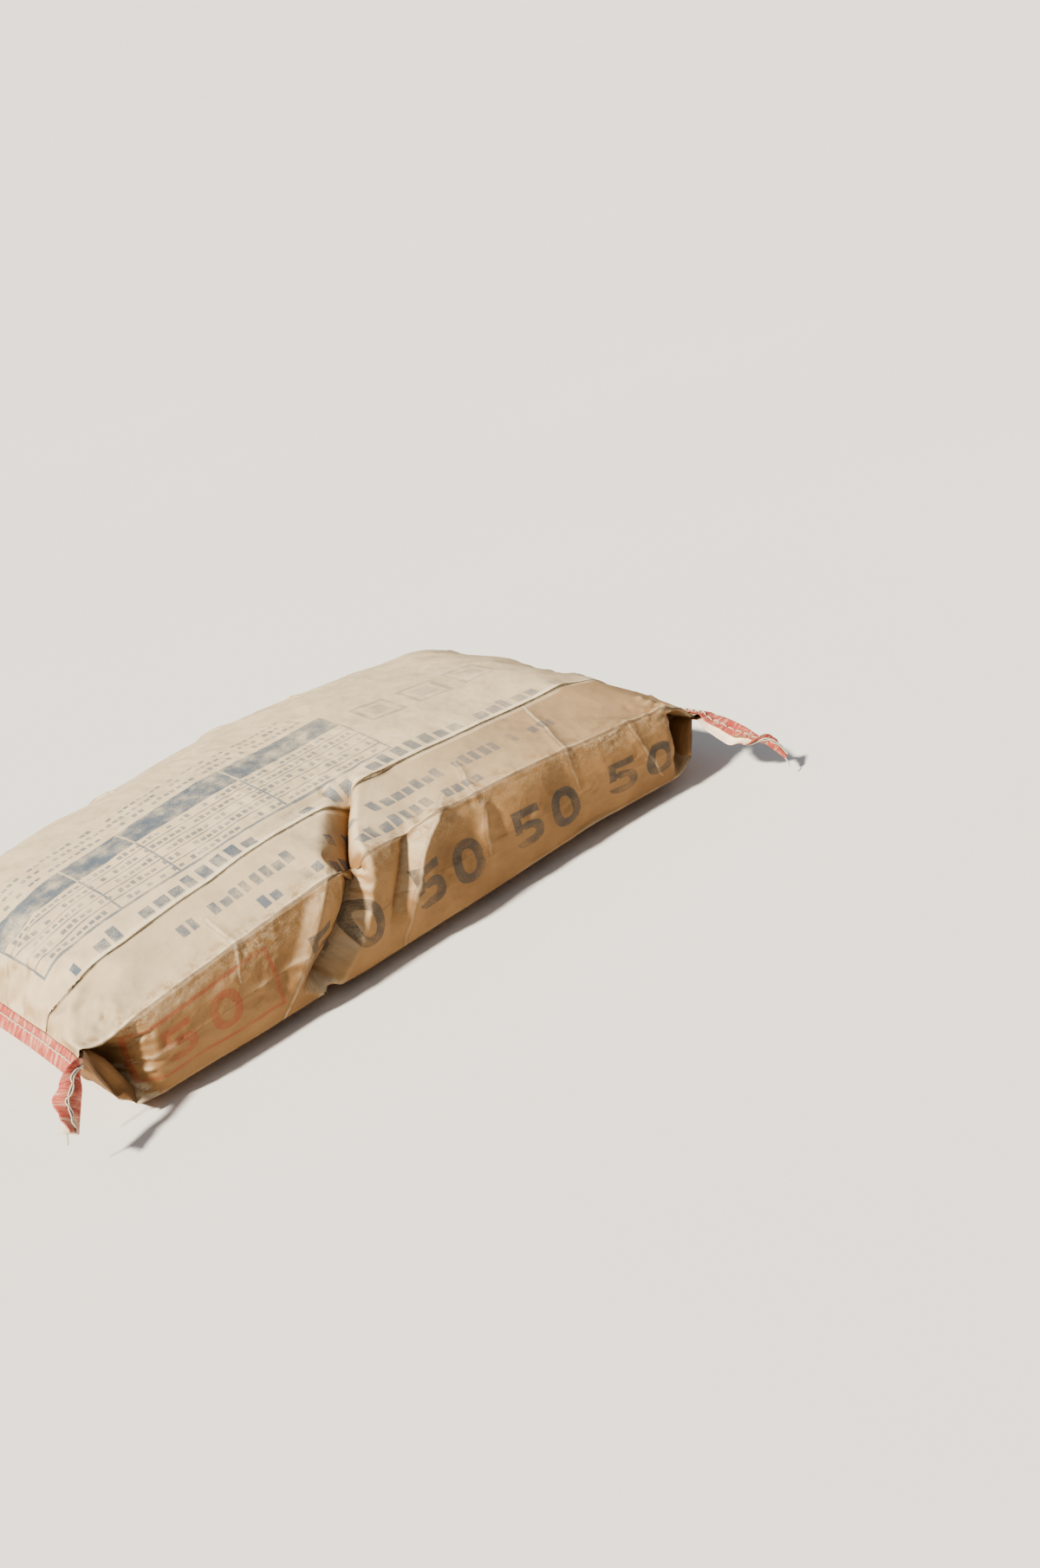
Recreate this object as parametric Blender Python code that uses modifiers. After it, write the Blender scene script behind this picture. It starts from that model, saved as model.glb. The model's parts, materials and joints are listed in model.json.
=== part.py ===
"""A filled 50 kg cement sack, lying flat on its back panel.

The sack is a gusseted paper tube, closed at both ends by a sewn lip. A crepe paper tape is
folded over each lip and sewn through, and its tail runs out past the near corner.

Metres, +Z up. X runs from the left end to the right end, Y from the near side to the far
side, and Z = 0 is the level floor that the sack lies on.
"""

import math

import bmesh
import bpy
from mathutils import Vector

# Sack
SACK_LENGTH = 0.736
PANEL_WIDTH = 0.412
SACK_HEIGHT = 0.150
TOP_CREASE_DROP = 0.040
TOP_FALL_AT_ENDS = 0.026
CREASE_FALL_AT_ENDS = 0.008
BOTTOM_CREASE_RISE = 0.014
SIDE_BULGE = 0.009
CROWN_POWER = 2.3
FLAT_SHARE = 0.72

# Ends
LIP_LENGTH = 0.024
LIP_THICKNESS = 0.0036
END_DRAW_IN = 0.010
TOP_SHOULDER_MIDDLE = 0.120
TOP_SHOULDER_CREASE = 0.032
BOTTOM_SHOULDER_MIDDLE = 0.052
BOTTOM_SHOULDER_CREASE = 0.036
SHOULDER_POWERS = (2.2, 0.55)
CLOSURE_HEIGHT = {"left": 0.086, "right": 0.062}
LIP_DROOP = {"left": math.radians(48), "right": math.radians(18)}

# Gusset pockets behind the corners of each lip
POCKET_DEPTH = 0.042
POCKET_LENGTH = {"left": 0.058, "right": 0.042}
POCKET_MOUTH = 0.016

# Transverse buckle of the near side: its valley crosses the near crease at BUCKLE_PLACE, runs
# to the right over the top panel and down to the left on the gusset. Offsets along the sack
# are measured from the valley.
BUCKLE_PLACE = -0.056
BUCKLE_DEPTH = 0.021
BUCKLE_FLANK = 0.040
BUCKLE_WALL = 0.013
BUCKLE_LEAN_ON_TOP = 0.072
BUCKLE_LEAN_ON_SIDE = 0.068
BUCKLE_FULL = 0.050
BUCKLE_REACH = 0.092
BUCKLE_TURN = 0.026
BUCKLE_FOOT = 0.020
SHEAR_FULL = 0.050
SHEAR_REACH = 0.260

# Pleats beside the buckle: a ridge at the left, a hollow and a ridge at the right
PLEAT_OFFSET = (-0.045, 0.052, 0.078)
PLEAT_HEIGHT = (0.005, -0.006, 0.007)
PLEAT_HALF_WIDTH = 0.022

# Closing tapes
TAPE_FOLD_DEPTH = 0.016
TAPE_THICKNESS = 0.0009
FAR_OVERHANG = 0.006
TAIL_LENGTH = {"left": 0.052, "right": 0.096}
TAIL_TURN = {"left": 0.022, "right": 0.070}
TAIL_DIRECTION = {"left": (-0.55, -0.32, -0.77), "right": (0.16, -0.80, -0.58)}
TAIL_CLOSING = 0.012
TAIL_GAP = 0.0008

# Stitching threads
THREAD_DIAMETER = 0.0014
STITCH_INSET = 0.009
THREAD_END = 0.004

CLEARANCE = 0.0003
THREAD_CLEARANCE = 0.0005

# Fineness of the cage and the strips
CLOSEST_CUTS = 0.006
BODY_STATIONS = 11
PANEL_CELLS = 8
GUSSET_CELLS = 4
CREASE_CUT = 0.008
TAPE_STEPS = 22
TAIL_STEPS = 9
THREAD_ROUNDNESS = 2

HALF_LENGTH = SACK_LENGTH / 2
HALF_WIDTH = PANEL_WIDTH / 2
ENDS = {"left": -1.0, "right": 1.0}


def smooth(low, high, value):
    """A step from 0 to 1 that eases in and out."""
    share = min(1.0, max(0.0, (value - low) / (high - low)))
    return share * share * (3.0 - 2.0 * share)


def shoulder(distance, reach):
    """The rise of a panel from the lip to the full body, as a quarter of a blunt ellipse."""
    share = min(1.0, max(0.0, distance / reach))
    run_power, rise_power = SHOULDER_POWERS
    return (1.0 - (1.0 - share) ** run_power) ** rise_power


def end_x(across):
    """Distance of the closed edge from the middle: the corners stand out past the centre."""
    share = min(1.0, abs(across) / HALF_WIDTH)
    return HALF_LENGTH - END_DRAW_IN * (1.0 - share**2)


def lip_middle(end, across, inset):
    """Point on the lip's middle surface, a given inset from the closed edge."""
    outward = ENDS[end]
    body_edge = end_x(across) - LIP_LENGTH
    reach = LIP_LENGTH - inset
    x = outward * (body_edge + reach * math.cos(LIP_DROOP[end]))
    z = CLOSURE_HEIGHT[end] - reach * math.sin(LIP_DROOP[end])
    return Vector((x, across, z))


def lip_inward(end):
    """Unit vector along the lip, from the closed edge to the body."""
    return Vector((-ENDS[end] * math.cos(LIP_DROOP[end]), 0.0, math.sin(LIP_DROOP[end])))


def lip_normal(end):
    """Unit vector out of the lip's upper face."""
    return Vector((ENDS[end] * math.sin(LIP_DROOP[end]), 0.0, math.cos(LIP_DROOP[end])))


def valley_shift(across, level):
    """How far the buckle's valley lies to the right of its place on the near crease."""
    from_side = HALF_WIDTH + across
    upper = (level + 1.0) / 2
    rising = min(from_side / BUCKLE_REACH, 1.0) * (1.0 - smooth(BUCKLE_REACH, 3 * BUCKLE_REACH, from_side))
    falling = (1.0 - upper) * (1.0 - smooth(0.0, 2 * BUCKLE_REACH, from_side))
    return BUCKLE_LEAN_ON_TOP * rising * upper - BUCKLE_LEAN_ON_SIDE * falling


def sheared(along, across, level):
    """Slides a place along the sack, so that the cage's cuts near the buckle follow its valley."""
    distance = abs(along - BUCKLE_PLACE)
    share = min(1.0, max(0.0, (SHEAR_REACH - distance) / (SHEAR_REACH - SHEAR_FULL)))
    return along + share * valley_shift(across, level)


def tent(offset, left, right):
    """A fold's share of its height, falling straight to nothing on either side."""
    return max(0.0, 1.0 - abs(offset) / (left if offset < 0.0 else right))


def buckle(x, across, level):
    """How far the near side is pushed in at the buckle and its pleats."""
    from_side = HALF_WIDTH + across
    gusset_height = SACK_HEIGHT - TOP_CREASE_DROP
    present = smooth(0.0, BUCKLE_FOOT, gusset_height * (level + 1.0) / 2)
    present *= 1.0 - smooth(BUCKLE_FULL, BUCKLE_REACH, from_side)
    offset = x - BUCKLE_PLACE - valley_shift(across, level)
    push = BUCKLE_DEPTH * tent(offset, BUCKLE_FLANK, BUCKLE_WALL)
    for place, height in zip(PLEAT_OFFSET, PLEAT_HEIGHT):
        push -= height * tent(offset - place, PLEAT_HALF_WIDTH, PLEAT_HALF_WIDTH)
    return push * present


def sack_point(along, across, level):
    """Maps a point of the flat box (metres, metres, -1 to 1) to the filled sack."""
    along = sheared(along, across, level)
    end = "right" if along > 0.0 else "left"
    outward = ENDS[end]
    edge = end_x(across)
    distance = edge - abs(along) * edge / HALF_LENGTH
    if distance <= LIP_LENGTH:
        point = lip_middle(end, across, distance)
        return point + lip_normal(end) * (level * LIP_THICKNESS / 2)
    inside = distance - LIP_LENGTH
    share = abs(across) / HALF_WIDTH
    rightward = 0.5 + 0.5 * along / HALF_LENGTH
    closure = CLOSURE_HEIGHT["left"] * (1.0 - rightward) + CLOSURE_HEIGHT["right"] * rightward
    closure += (CLOSURE_HEIGHT[end] - closure) * (1.0 - smooth(0.0, TOP_SHOULDER_MIDDLE, inside))

    crown = SACK_HEIGHT - TOP_CREASE_DROP * share**CROWN_POWER
    crown -= TOP_FALL_AT_ENDS * (along / HALF_LENGTH) ** 2
    crown -= CREASE_FALL_AT_ENDS * share * (1.0 - smooth(0.0, HALF_LENGTH, inside))
    top_reach = TOP_SHOULDER_MIDDLE + (TOP_SHOULDER_CREASE - TOP_SHOULDER_MIDDLE) * share**2
    top = closure + LIP_THICKNESS / 2
    top += (crown - top) * shoulder(inside, top_reach)

    rest = BOTTOM_CREASE_RISE * smooth(FLAT_SHARE, 1.0, share)
    bottom_reach = BOTTOM_SHOULDER_MIDDLE + (BOTTOM_SHOULDER_CREASE - BOTTOM_SHOULDER_MIDDLE) * share**2
    bottom = closure - LIP_THICKNESS / 2
    bottom += (rest - bottom) * shoulder(inside, bottom_reach)

    on_side = share > 0.999
    filled = smooth(POCKET_MOUTH, POCKET_LENGTH[end], inside)
    side = SIDE_BULGE * filled - POCKET_DEPTH * smooth(0.0, POCKET_MOUTH, inside) * (1.0 - filled)
    x = outward * (edge - distance)
    y = math.copysign(abs(across) + on_side * side * (1.0 - level**2), across)
    z = bottom + (top - bottom) * (level + 1.0) / 2
    push = buckle(x, across, level)
    turn = math.pi / 4 * (smooth(0.0, 1.0, level) + smooth(0.0, BUCKLE_TURN, HALF_WIDTH + across))
    return Vector((x, y + push * math.cos(turn), z - push * math.sin(turn)))


def along_stations():
    """Places of the cage's cross cuts: close together at the ends and round the buckle."""
    stations = []
    for end, outward in ENDS.items():
        from_end = (TAPE_FOLD_DEPTH / 2, TAPE_FOLD_DEPTH + 0.002, LIP_LENGTH, LIP_LENGTH + 0.5 * POCKET_MOUTH,
                    LIP_LENGTH + POCKET_MOUTH, LIP_LENGTH + 0.5 * (POCKET_MOUTH + POCKET_LENGTH[end]),
                    LIP_LENGTH + POCKET_LENGTH[end])
        stations += [outward * (HALF_LENGTH - inset) for inset in from_end]
    beside = [-BUCKLE_FLANK / 2, -BUCKLE_FLANK / 5, 0.0, BUCKLE_WALL, (BUCKLE_WALL + PLEAT_OFFSET[1]) / 2]
    beside += [*PLEAT_OFFSET, PLEAT_OFFSET[0] - PLEAT_HALF_WIDTH, PLEAT_OFFSET[-1] + PLEAT_HALF_WIDTH]
    stations += [BUCKLE_PLACE + offset for offset in beside]
    body = HALF_LENGTH - LIP_LENGTH - 1.5 * max(POCKET_LENGTH.values())
    stations += [body * (2.0 * step / (BODY_STATIONS - 1) - 1.0) for step in range(BODY_STATIONS)]
    spaced = []
    for station in stations:
        if all(abs(station - other) > CLOSEST_CUTS for other in spaced):
            spaced.append(station)
    return spaced


def cage_cuts():
    """Planes that cut the box into the cage, as (point, normal)."""
    cuts = [((station, 0.0, 0.0), (1.0, 0.0, 0.0)) for station in along_stations()]
    panel = [HALF_WIDTH * (2.0 * cell / PANEL_CELLS - 1.0) for cell in range(1, PANEL_CELLS)]
    panel += [BUCKLE_TURN - HALF_WIDTH, (BUCKLE_FULL + BUCKLE_REACH) / 2 - HALF_WIDTH]
    cuts += [((0.0, across, 0.0), (0.0, 1.0, 0.0)) for across in panel]
    gusset = [2.0 * cell / GUSSET_CELLS - 1.0 for cell in range(1, GUSSET_CELLS)]
    gusset.append(1.0 - 2.0 * CREASE_CUT / (SACK_HEIGHT - TOP_CREASE_DROP))
    cuts += [((0.0, 0.0, level), (0.0, 0.0, 1.0)) for level in gusset]
    return cuts


def new_object(name, collection, mesh, colour, roughness):
    """Links a mesh as a named object with a plain material of its own."""
    material = bpy.data.materials.new(name)
    material.use_nodes = True
    shader = material.node_tree.nodes["Principled BSDF"]
    shader.inputs["Base Color"].default_value = (*colour, 1.0)
    shader.inputs["Roughness"].default_value = roughness
    shader.inputs["Metallic"].default_value = 0.0
    mesh.materials.append(material)
    obj = bpy.data.objects.new(name, mesh)
    collection.objects.link(obj)
    return obj


def smooth_surface(obj, levels):
    """Rounds a coarse cage with one Subdivision Surface, the same in a render."""
    obj.data.shade_smooth()
    rounding = obj.modifiers.new("Rounding", "SUBSURF")
    rounding.levels = levels
    rounding.render_levels = levels


def build_sack(collection):
    """The filled sack: a box cut into a cage, and each corner of the cage moved to the form."""
    bm = bmesh.new()
    bmesh.ops.create_cube(bm, size=2.0)
    bmesh.ops.scale(bm, vec=(HALF_LENGTH, HALF_WIDTH, 1.0), verts=bm.verts)
    for place, normal in cage_cuts():
        whole = bm.verts[:] + bm.edges[:] + bm.faces[:]
        bmesh.ops.bisect_plane(bm, geom=whole, plane_co=place, plane_no=normal)
    for vert in bm.verts:
        vert.co = sack_point(*vert.co)
    mesh = bpy.data.meshes.new("filled_sack")
    bm.to_mesh(mesh)
    bm.free()
    sack = new_object("filled_sack", collection, mesh, (0.46, 0.31, 0.17), 0.85)
    smooth_surface(sack, 1)


def tape_stations(end):
    """Frames along a tape: (centre of the closed edge, inward, normal, half of the gap inside)."""
    inward = lip_inward(end)
    normal = lip_normal(end)
    lip_gap = LIP_THICKNESS / 2 + CLEARANCE
    stations = []
    length = PANEL_WIDTH + FAR_OVERHANG
    for step in range(TAPE_STEPS + 1):
        across = HALF_WIDTH + FAR_OVERHANG - length * step / TAPE_STEPS
        stations.append((lip_middle(end, across, 0.0), inward, normal, lip_gap))
    centre = stations[-1][0]
    start = Vector((0.0, -1.0, 0.0))
    finish = Vector(TAIL_DIRECTION[end]).normalized()
    piece = TAIL_LENGTH[end] / TAIL_STEPS
    for step in range(TAIL_STEPS):
        run = (step + 1) * piece
        heading = start.slerp(finish, smooth(0.0, TAIL_TURN[end], run - piece / 2))
        centre = centre + heading * piece
        across = (inward - heading * inward.dot(heading)).normalized()
        upward = heading.cross(across) * -ENDS[end]
        gap = lip_gap + (TAIL_GAP / 2 - lip_gap) * smooth(0.0, TAIL_CLOSING, run)
        stations.append((centre, across, upward.normalized(), gap))
    return stations


def fold_profile(gap):
    """Half of the folded tape's inner outline: (inset, height) from the free edge to the fold."""
    profile = [(TAPE_FOLD_DEPTH, gap), (TAPE_FOLD_DEPTH / 2, gap), (0.0, gap)]
    profile.append((-CLEARANCE - 0.6 * gap, 0.72 * gap))
    return profile


def tape_outline(gap):
    """The tape's inner outline, from the upper free edge round the fold to the lower one."""
    upper = fold_profile(gap)
    nose = [(-CLEARANCE - gap, 0.0)]
    lower = [(inset, -height) for inset, height in reversed(upper)]
    return upper + nose + lower


def build_tape(end, collection):
    """One closing tape: a strip drawn along the lip and its tail, then given its thickness."""
    name = f"closing_tape_{end}"
    bm = bmesh.new()
    rows = []
    for centre, inward, normal, gap in tape_stations(end):
        row = [bm.verts.new(centre + inward * inset + normal * height) for inset, height in tape_outline(gap)]
        rows.append(row)
    edges = [bm.edges.new(pair) for row in rows for pair in zip(row, row[1:])]
    count = len(rows[0]) - 1
    for index in range(len(rows) - 1):
        pair = edges[index * count:(index + 2) * count]
        bmesh.ops.bridge_loops(bm, edges=pair)
    bmesh.ops.recalc_face_normals(bm, faces=bm.faces)
    mesh = bpy.data.meshes.new(name)
    bm.to_mesh(mesh)
    bm.free()
    tape = new_object(name, collection, mesh, (0.55, 0.20, 0.17), 0.9)
    wall = tape.modifiers.new("Thickness", "SOLIDIFY")
    wall.thickness = TAPE_THICKNESS
    wall.offset = 1.0
    mesh.shade_smooth()


def build_thread(end, collection):
    """The seam's thread, lying on the tape's upper leaf from corner to the end of the tail."""
    name = f"stitching_thread_{end}"
    curve = bpy.data.curves.new(name, "CURVE")
    curve.dimensions = "3D"
    curve.bevel_depth = THREAD_DIAMETER / 2
    curve.bevel_resolution = THREAD_ROUNDNESS
    curve.use_fill_caps = True
    spline = curve.splines.new("POLY")
    points = []
    lift = TAPE_THICKNESS + THREAD_CLEARANCE + THREAD_DIAMETER / 2
    for centre, inward, normal, gap in tape_stations(end):
        points.append(centre + inward * STITCH_INSET + normal * (gap + lift))
    points.append(points[-1] + (points[-1] - points[-2]).normalized() * THREAD_END)
    spline.points.add(len(points) - 1)
    for place, point in zip(spline.points, points):
        place.co = (*point, 1.0)
    new_object(name, collection, curve, (0.75, 0.72, 0.64), 0.8)


def main():
    for obj in list(bpy.data.objects):
        bpy.data.objects.remove(obj, do_unlink=True)
    collection = bpy.data.collections.new("cement_bag")
    bpy.context.scene.collection.children.link(collection)
    build_sack(collection)
    for end in ENDS:
        build_tape(end, collection)
        build_thread(end, collection)


main()
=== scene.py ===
"""Looks of a filled 50 kg cement sack: creased kraft paper, crepe closing tapes and their stitches.

Metres, +Z up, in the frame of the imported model. X runs from the left sewn end to the right
one, and the near side, with the tape tails, is at -Y.
"""

import json
import math
from typing import NamedTuple

import bmesh
import bpy
import numpy as np
from mathutils import Matrix, Vector

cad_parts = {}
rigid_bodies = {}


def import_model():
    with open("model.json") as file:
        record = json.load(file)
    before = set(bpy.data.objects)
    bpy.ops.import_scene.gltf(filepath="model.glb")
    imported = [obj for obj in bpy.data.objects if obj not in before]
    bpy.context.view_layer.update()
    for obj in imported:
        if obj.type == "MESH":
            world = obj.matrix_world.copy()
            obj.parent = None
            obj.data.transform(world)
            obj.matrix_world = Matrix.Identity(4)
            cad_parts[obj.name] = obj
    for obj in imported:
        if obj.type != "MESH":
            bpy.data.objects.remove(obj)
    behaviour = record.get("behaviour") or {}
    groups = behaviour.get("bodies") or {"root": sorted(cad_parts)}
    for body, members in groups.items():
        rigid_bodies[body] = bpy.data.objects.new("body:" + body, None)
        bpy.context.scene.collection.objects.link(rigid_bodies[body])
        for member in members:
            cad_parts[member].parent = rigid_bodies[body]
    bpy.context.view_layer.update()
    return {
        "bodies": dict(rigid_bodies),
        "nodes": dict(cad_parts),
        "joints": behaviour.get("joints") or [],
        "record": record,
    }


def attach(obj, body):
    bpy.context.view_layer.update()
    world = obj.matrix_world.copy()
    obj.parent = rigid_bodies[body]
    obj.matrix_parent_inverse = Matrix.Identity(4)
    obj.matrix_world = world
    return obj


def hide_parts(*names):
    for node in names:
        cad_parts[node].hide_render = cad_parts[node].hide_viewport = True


bl_info = {
    "name": "Cement Bag",
    "version": (1, 0, 0),
    "blender": (4, 5, 0),
    "location": "View3D > Sidebar > Cement Bag",
    "description": "Models the creased paper, closing tapes and stitches of a filled cement sack",
    "category": "Add Mesh",
}

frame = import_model()
ENDS = {"left": -1.0, "right": 1.0}

# Form of the filled sack, as the solid has it
HALF_LENGTH = 0.368
HALF_WIDTH = 0.206
SACK_HEIGHT = 0.150
TOP_CREASE_DROP = 0.040
TOP_FALL_AT_ENDS = 0.026
CREASE_FALL_AT_ENDS = 0.008
BOTTOM_CREASE_RISE = 0.014
SIDE_BULGE = 0.009
CROWN_POWER = 2.3
FLAT_SHARE = 0.72
LIP_LENGTH = 0.024
LIP_THICKNESS = 0.0036
END_DRAW_IN = 0.010
TOP_SHOULDER = (0.120, 0.032)
BOTTOM_SHOULDER = (0.052, 0.036)
SHOULDER_POWERS = (2.2, 0.55)
CLOSURE_HEIGHT = {"left": 0.086, "right": 0.062}
LIP_DROOP = {"left": math.radians(48), "right": math.radians(18)}
POCKET_DEPTH = 0.042
POCKET_LENGTH = {"left": 0.058, "right": 0.042}
POCKET_MOUTH = 0.016

# Closing tapes and their threads, as the solids have them
FAR_OVERHANG = 0.006
TAIL_LENGTH = {"left": 0.052, "right": 0.096}
TAIL_TURN = {"left": 0.022, "right": 0.070}
TAIL_DIRECTION = {"left": (-0.55, -0.32, -0.77), "right": (0.16, -0.80, -0.58)}
TAIL_CLOSING = 0.012
TAIL_GAP = 0.0012
STITCH_INSET = 0.009
CLEARANCE = 0.0003

# Flat paper, for folds, creases and print: metres round the girth from the top's middle line.
# The near side is negative there, as in Y.
GUSSET_GIRTH = 0.100
HALF_GIRTH = 2 * HALF_WIDTH + GUSSET_GIRTH
BUCKLE_ALONG = -0.045

# Cells of the cloth along the sack, and across half the bottom, the near gusset, the top and the far
# gusset; cells of the random values for swells; and how long the cloth settles
LENGTH_CELLS = 140
GIRTH_CELLS = (20, 24, 72, 18)
LATTICE = 64
CLOTH_FRAMES = 20
CLOTH = {
    "quality": 4,
    "mass": 0.3,
    "tension_stiffness": 80.0,
    "compression_stiffness": 80.0,
    "shear_stiffness": 40.0,
    "bending_stiffness": 100.0,
    "tension_damping": 5.0,
    "compression_damping": 5.0,
    "shear_damping": 5.0,
    "bending_damping": 0.5,
    "air_damping": 3.0,
}
# Share by which the paper is cut larger than the form, and how firmly the form holds it
SLACK = {"everywhere": 0.002, "ends": 0.014, "sides": 0.005, "buckle": 0.016}
HOLD = {"loose": 0.22, "top": 0.6, "floor": 0.8}
# Where that is, in metres: inwards from an end, round the girth either way, and for the buckle a
# (middle, reach) along the sack and one round it
END_ZONE = (0.03, 0.14)
TOP_ZONE = (0.07, 0.15)
SIDE_ZONE = ((0.17, 0.21), (0.29, 0.33))
BUCKLE_ZONE = ((-0.04, 0.09), (-0.215, 0.045))
FLOOR_ZONE = 0.002
FREE_LIP = 0.004

# How far apart the filling's swells and ripples are, in metres
SWELL_SPACING = 0.085
RIPPLE_SPACING = 0.040

# The tapes: the width of the strip before it is folded, its steps along the lip and its cells across
TAPE_STRIP = 0.0386
TAPE_STEPS = 418
TAPE_CELLS = 30
# Their relief: how ragged the edges are, as (share, spacing), from where to where on a leaf the edges
# flare, how far from the fold the wrinkles begin, and how far apart they are, in metres
RAGGED = (0.035, 0.022)
FLARE_START = (0.009, 0.016)
FLARE_SPACING = 0.017
WRINKLE_START = (0.001, 0.006)
WRINKLE_SPACING = 0.011
CRINKLE_SPACING = 0.0042
PUCKER_REACH = 0.004

# The threads: needle thread on the upper leaf, two strands of looper chain under the lower one
STITCH_POINTS = 9
SEAM_BESIDE = 0.0008
HOLE_REACH = 0.0017
CHAIN_WIDTH = 0.0010
LOOSE_END = 0.012
LOOSE_POINTS = 8
HANGING_STRAND = (
    (-0.3600, -0.192, 0.068), (-0.3628, -0.194, 0.062), (-0.3622, -0.195, 0.047), (-0.3640, -0.196, 0.031))

# Camera fitted to the photograph: a 50 mm lens on film whose long side is 36 mm
LENS = 50.0
FILM = 36.0
CAMERA_PLACE = (-0.8853, -1.7232, 0.8869)
CAMERA_BACK = (-0.5105, -0.7620, 0.3985)
CAMERA_UP = (0.4341, 0.1716, 0.8844)

# Studio: a wide floor, an even sky and one soft key from the upper left, behind the camera
FLOOR_REACH = 80.0
SKY_COLOUR = (0.86, 0.92, 1.0)
SKY_STRENGTH = 0.32
HORIZON_COLOUR = (1.62, 1.56, 1.42)
KEY_DIRECTION = (-0.70, -0.02, 0.71)
KEY_STRENGTH = 7.2
KEY_SOFTNESS = math.radians(6)
KEY_COLOUR = (1.0, 0.93, 0.80)


class Tail(NamedTuple):
    """How a tape changes from the lip's corner to its tip, as values at evenly spaced places."""

    opening: tuple
    roll: tuple
    twist: tuple
    width: tuple
    shift: tuple


# Angles in degrees; the width is a share, and the shift moves the fold towards the upper edge, in metres
TAILS = {
    "left": Tail(
        opening=(0, 10, 16, 20, 24), roll=(0, 150, 130, 70, 36), twist=(0, 34, 58, 66, 70),
        width=(1, 1, 1, 1, 1), shift=(0, 0, 0.002, 0.003, 0.003)),
    "right": Tail(
        opening=(0, 5, 7, 6, 4, 0), roll=(0, 8, 14, 60, 190, 300), twist=(0, -30, -56, -44, 20, 110),
        width=(1, 1, 0.95, 0.75, 0.5, 0.26), shift=(0, 0.0024, 0.0032, 0.003, 0.001, 0)),
}


class Fold(NamedTuple):
    """A fold pressed into the paper, in millimetres: a ridge, or a valley where its height is negative.

    Its flanks reach "left" and "right" of the route, seen along it, each as (at the start, at the end).
    """

    route: tuple
    height: float
    left: tuple
    right: tuple
    power: float = 1.3
    fade: tuple = (0.2, 0.1)


# The big buckle in the near side and the pleats about it, as (along, round the girth) points.
# Its right wall is a lobe of the top panel that slides over the slot.
BUCKLE_FOLDS = (
    Fold(
        ((16, -118), (-14, -148), (-36, -174), (-52, -198), (-62, -222), (-80, -252), (-106, -282),
         (-124, -304)),
        -28, (11, 17), (20, 42), 1.5, (0.13, 0.02)),
    Fold(
        ((28, -112), (-2, -144), (-24, -170), (-40, -192), (-46, -214), (-60, -240)),
        5.0, (48, 36), (9, 10), 1.3, (0.12, 0.25)),
    Fold(
        ((-80, -196), (-101, -214), (-120, -236), (-138, -258), (-154, -280), (-170, -306)),
        6.0, (16, 26), (12, 16), 1.2, (0.3, 0.3)),
    Fold(((-62, -192), (-73, -210), (-78, -230), (-92, -250)), 2.6, (7, 8), (8, 12), 1.2, (0.2, 0.3)),
    Fold(
        ((58, -192), (42, -204), (22, -216), (4, -232), (-9, -254), (-22, -276), (-34, -306)),
        9.5, (34, 22), (13, 10), 1.2, (0.25, 0.45)),
    Fold(((12, -194), (-8, -222), (-28, -254), (-52, -296)), -7.0, (16, 12), (16, 14), 1.4, (0.2, 0.4)),
    Fold(((92, -204), (82, -224), (76, -246), (72, -270)), 2.2, (10, 14), (9, 12), 1.3, (0.3, 0.3)),
    Fold(((-2, -110), (-40, -111), (-88, -116), (-150, -126)), -5.0, (20, 10), (10, 8), 1.4, (0.08, 0.8)),
)
# Softer folds of the same kind in the far side, which the photograph doesn't show
FAR_FOLDS = (
    Fold(((88, 158), (72, 192), (60, 222), (42, 262), (34, 300)), -9.0, (16, 24), (12, 18), 1.4, (0.3, 0.15)),
    Fold(((66, 164), (50, 194), (38, 226), (20, 268)), 4.5, (12, 16), (12, 16), 1.3, (0.3, 0.3)),
    Fold(
        ((-150, 170), (-160, 196), (-166, 226), (-182, 262), (-190, 300)),
        -6.0, (14, 20), (12, 16), 1.4, (0.3, 0.2)),
    Fold(((236, 178), (226, 206), (232, 240), (222, 286)), -4.5, (10, 14), (12, 16), 1.4, (0.3, 0.2)),
)
LOBE_SLIDE = (
    Fold(
        ((24, -116), (-6, -146), (-28, -172), (-44, -194), (-50, -214), (-58, -232)),
        8.0, (46, 34), (8, 9), 1.3, (0.2, 0.4)),
)

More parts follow.
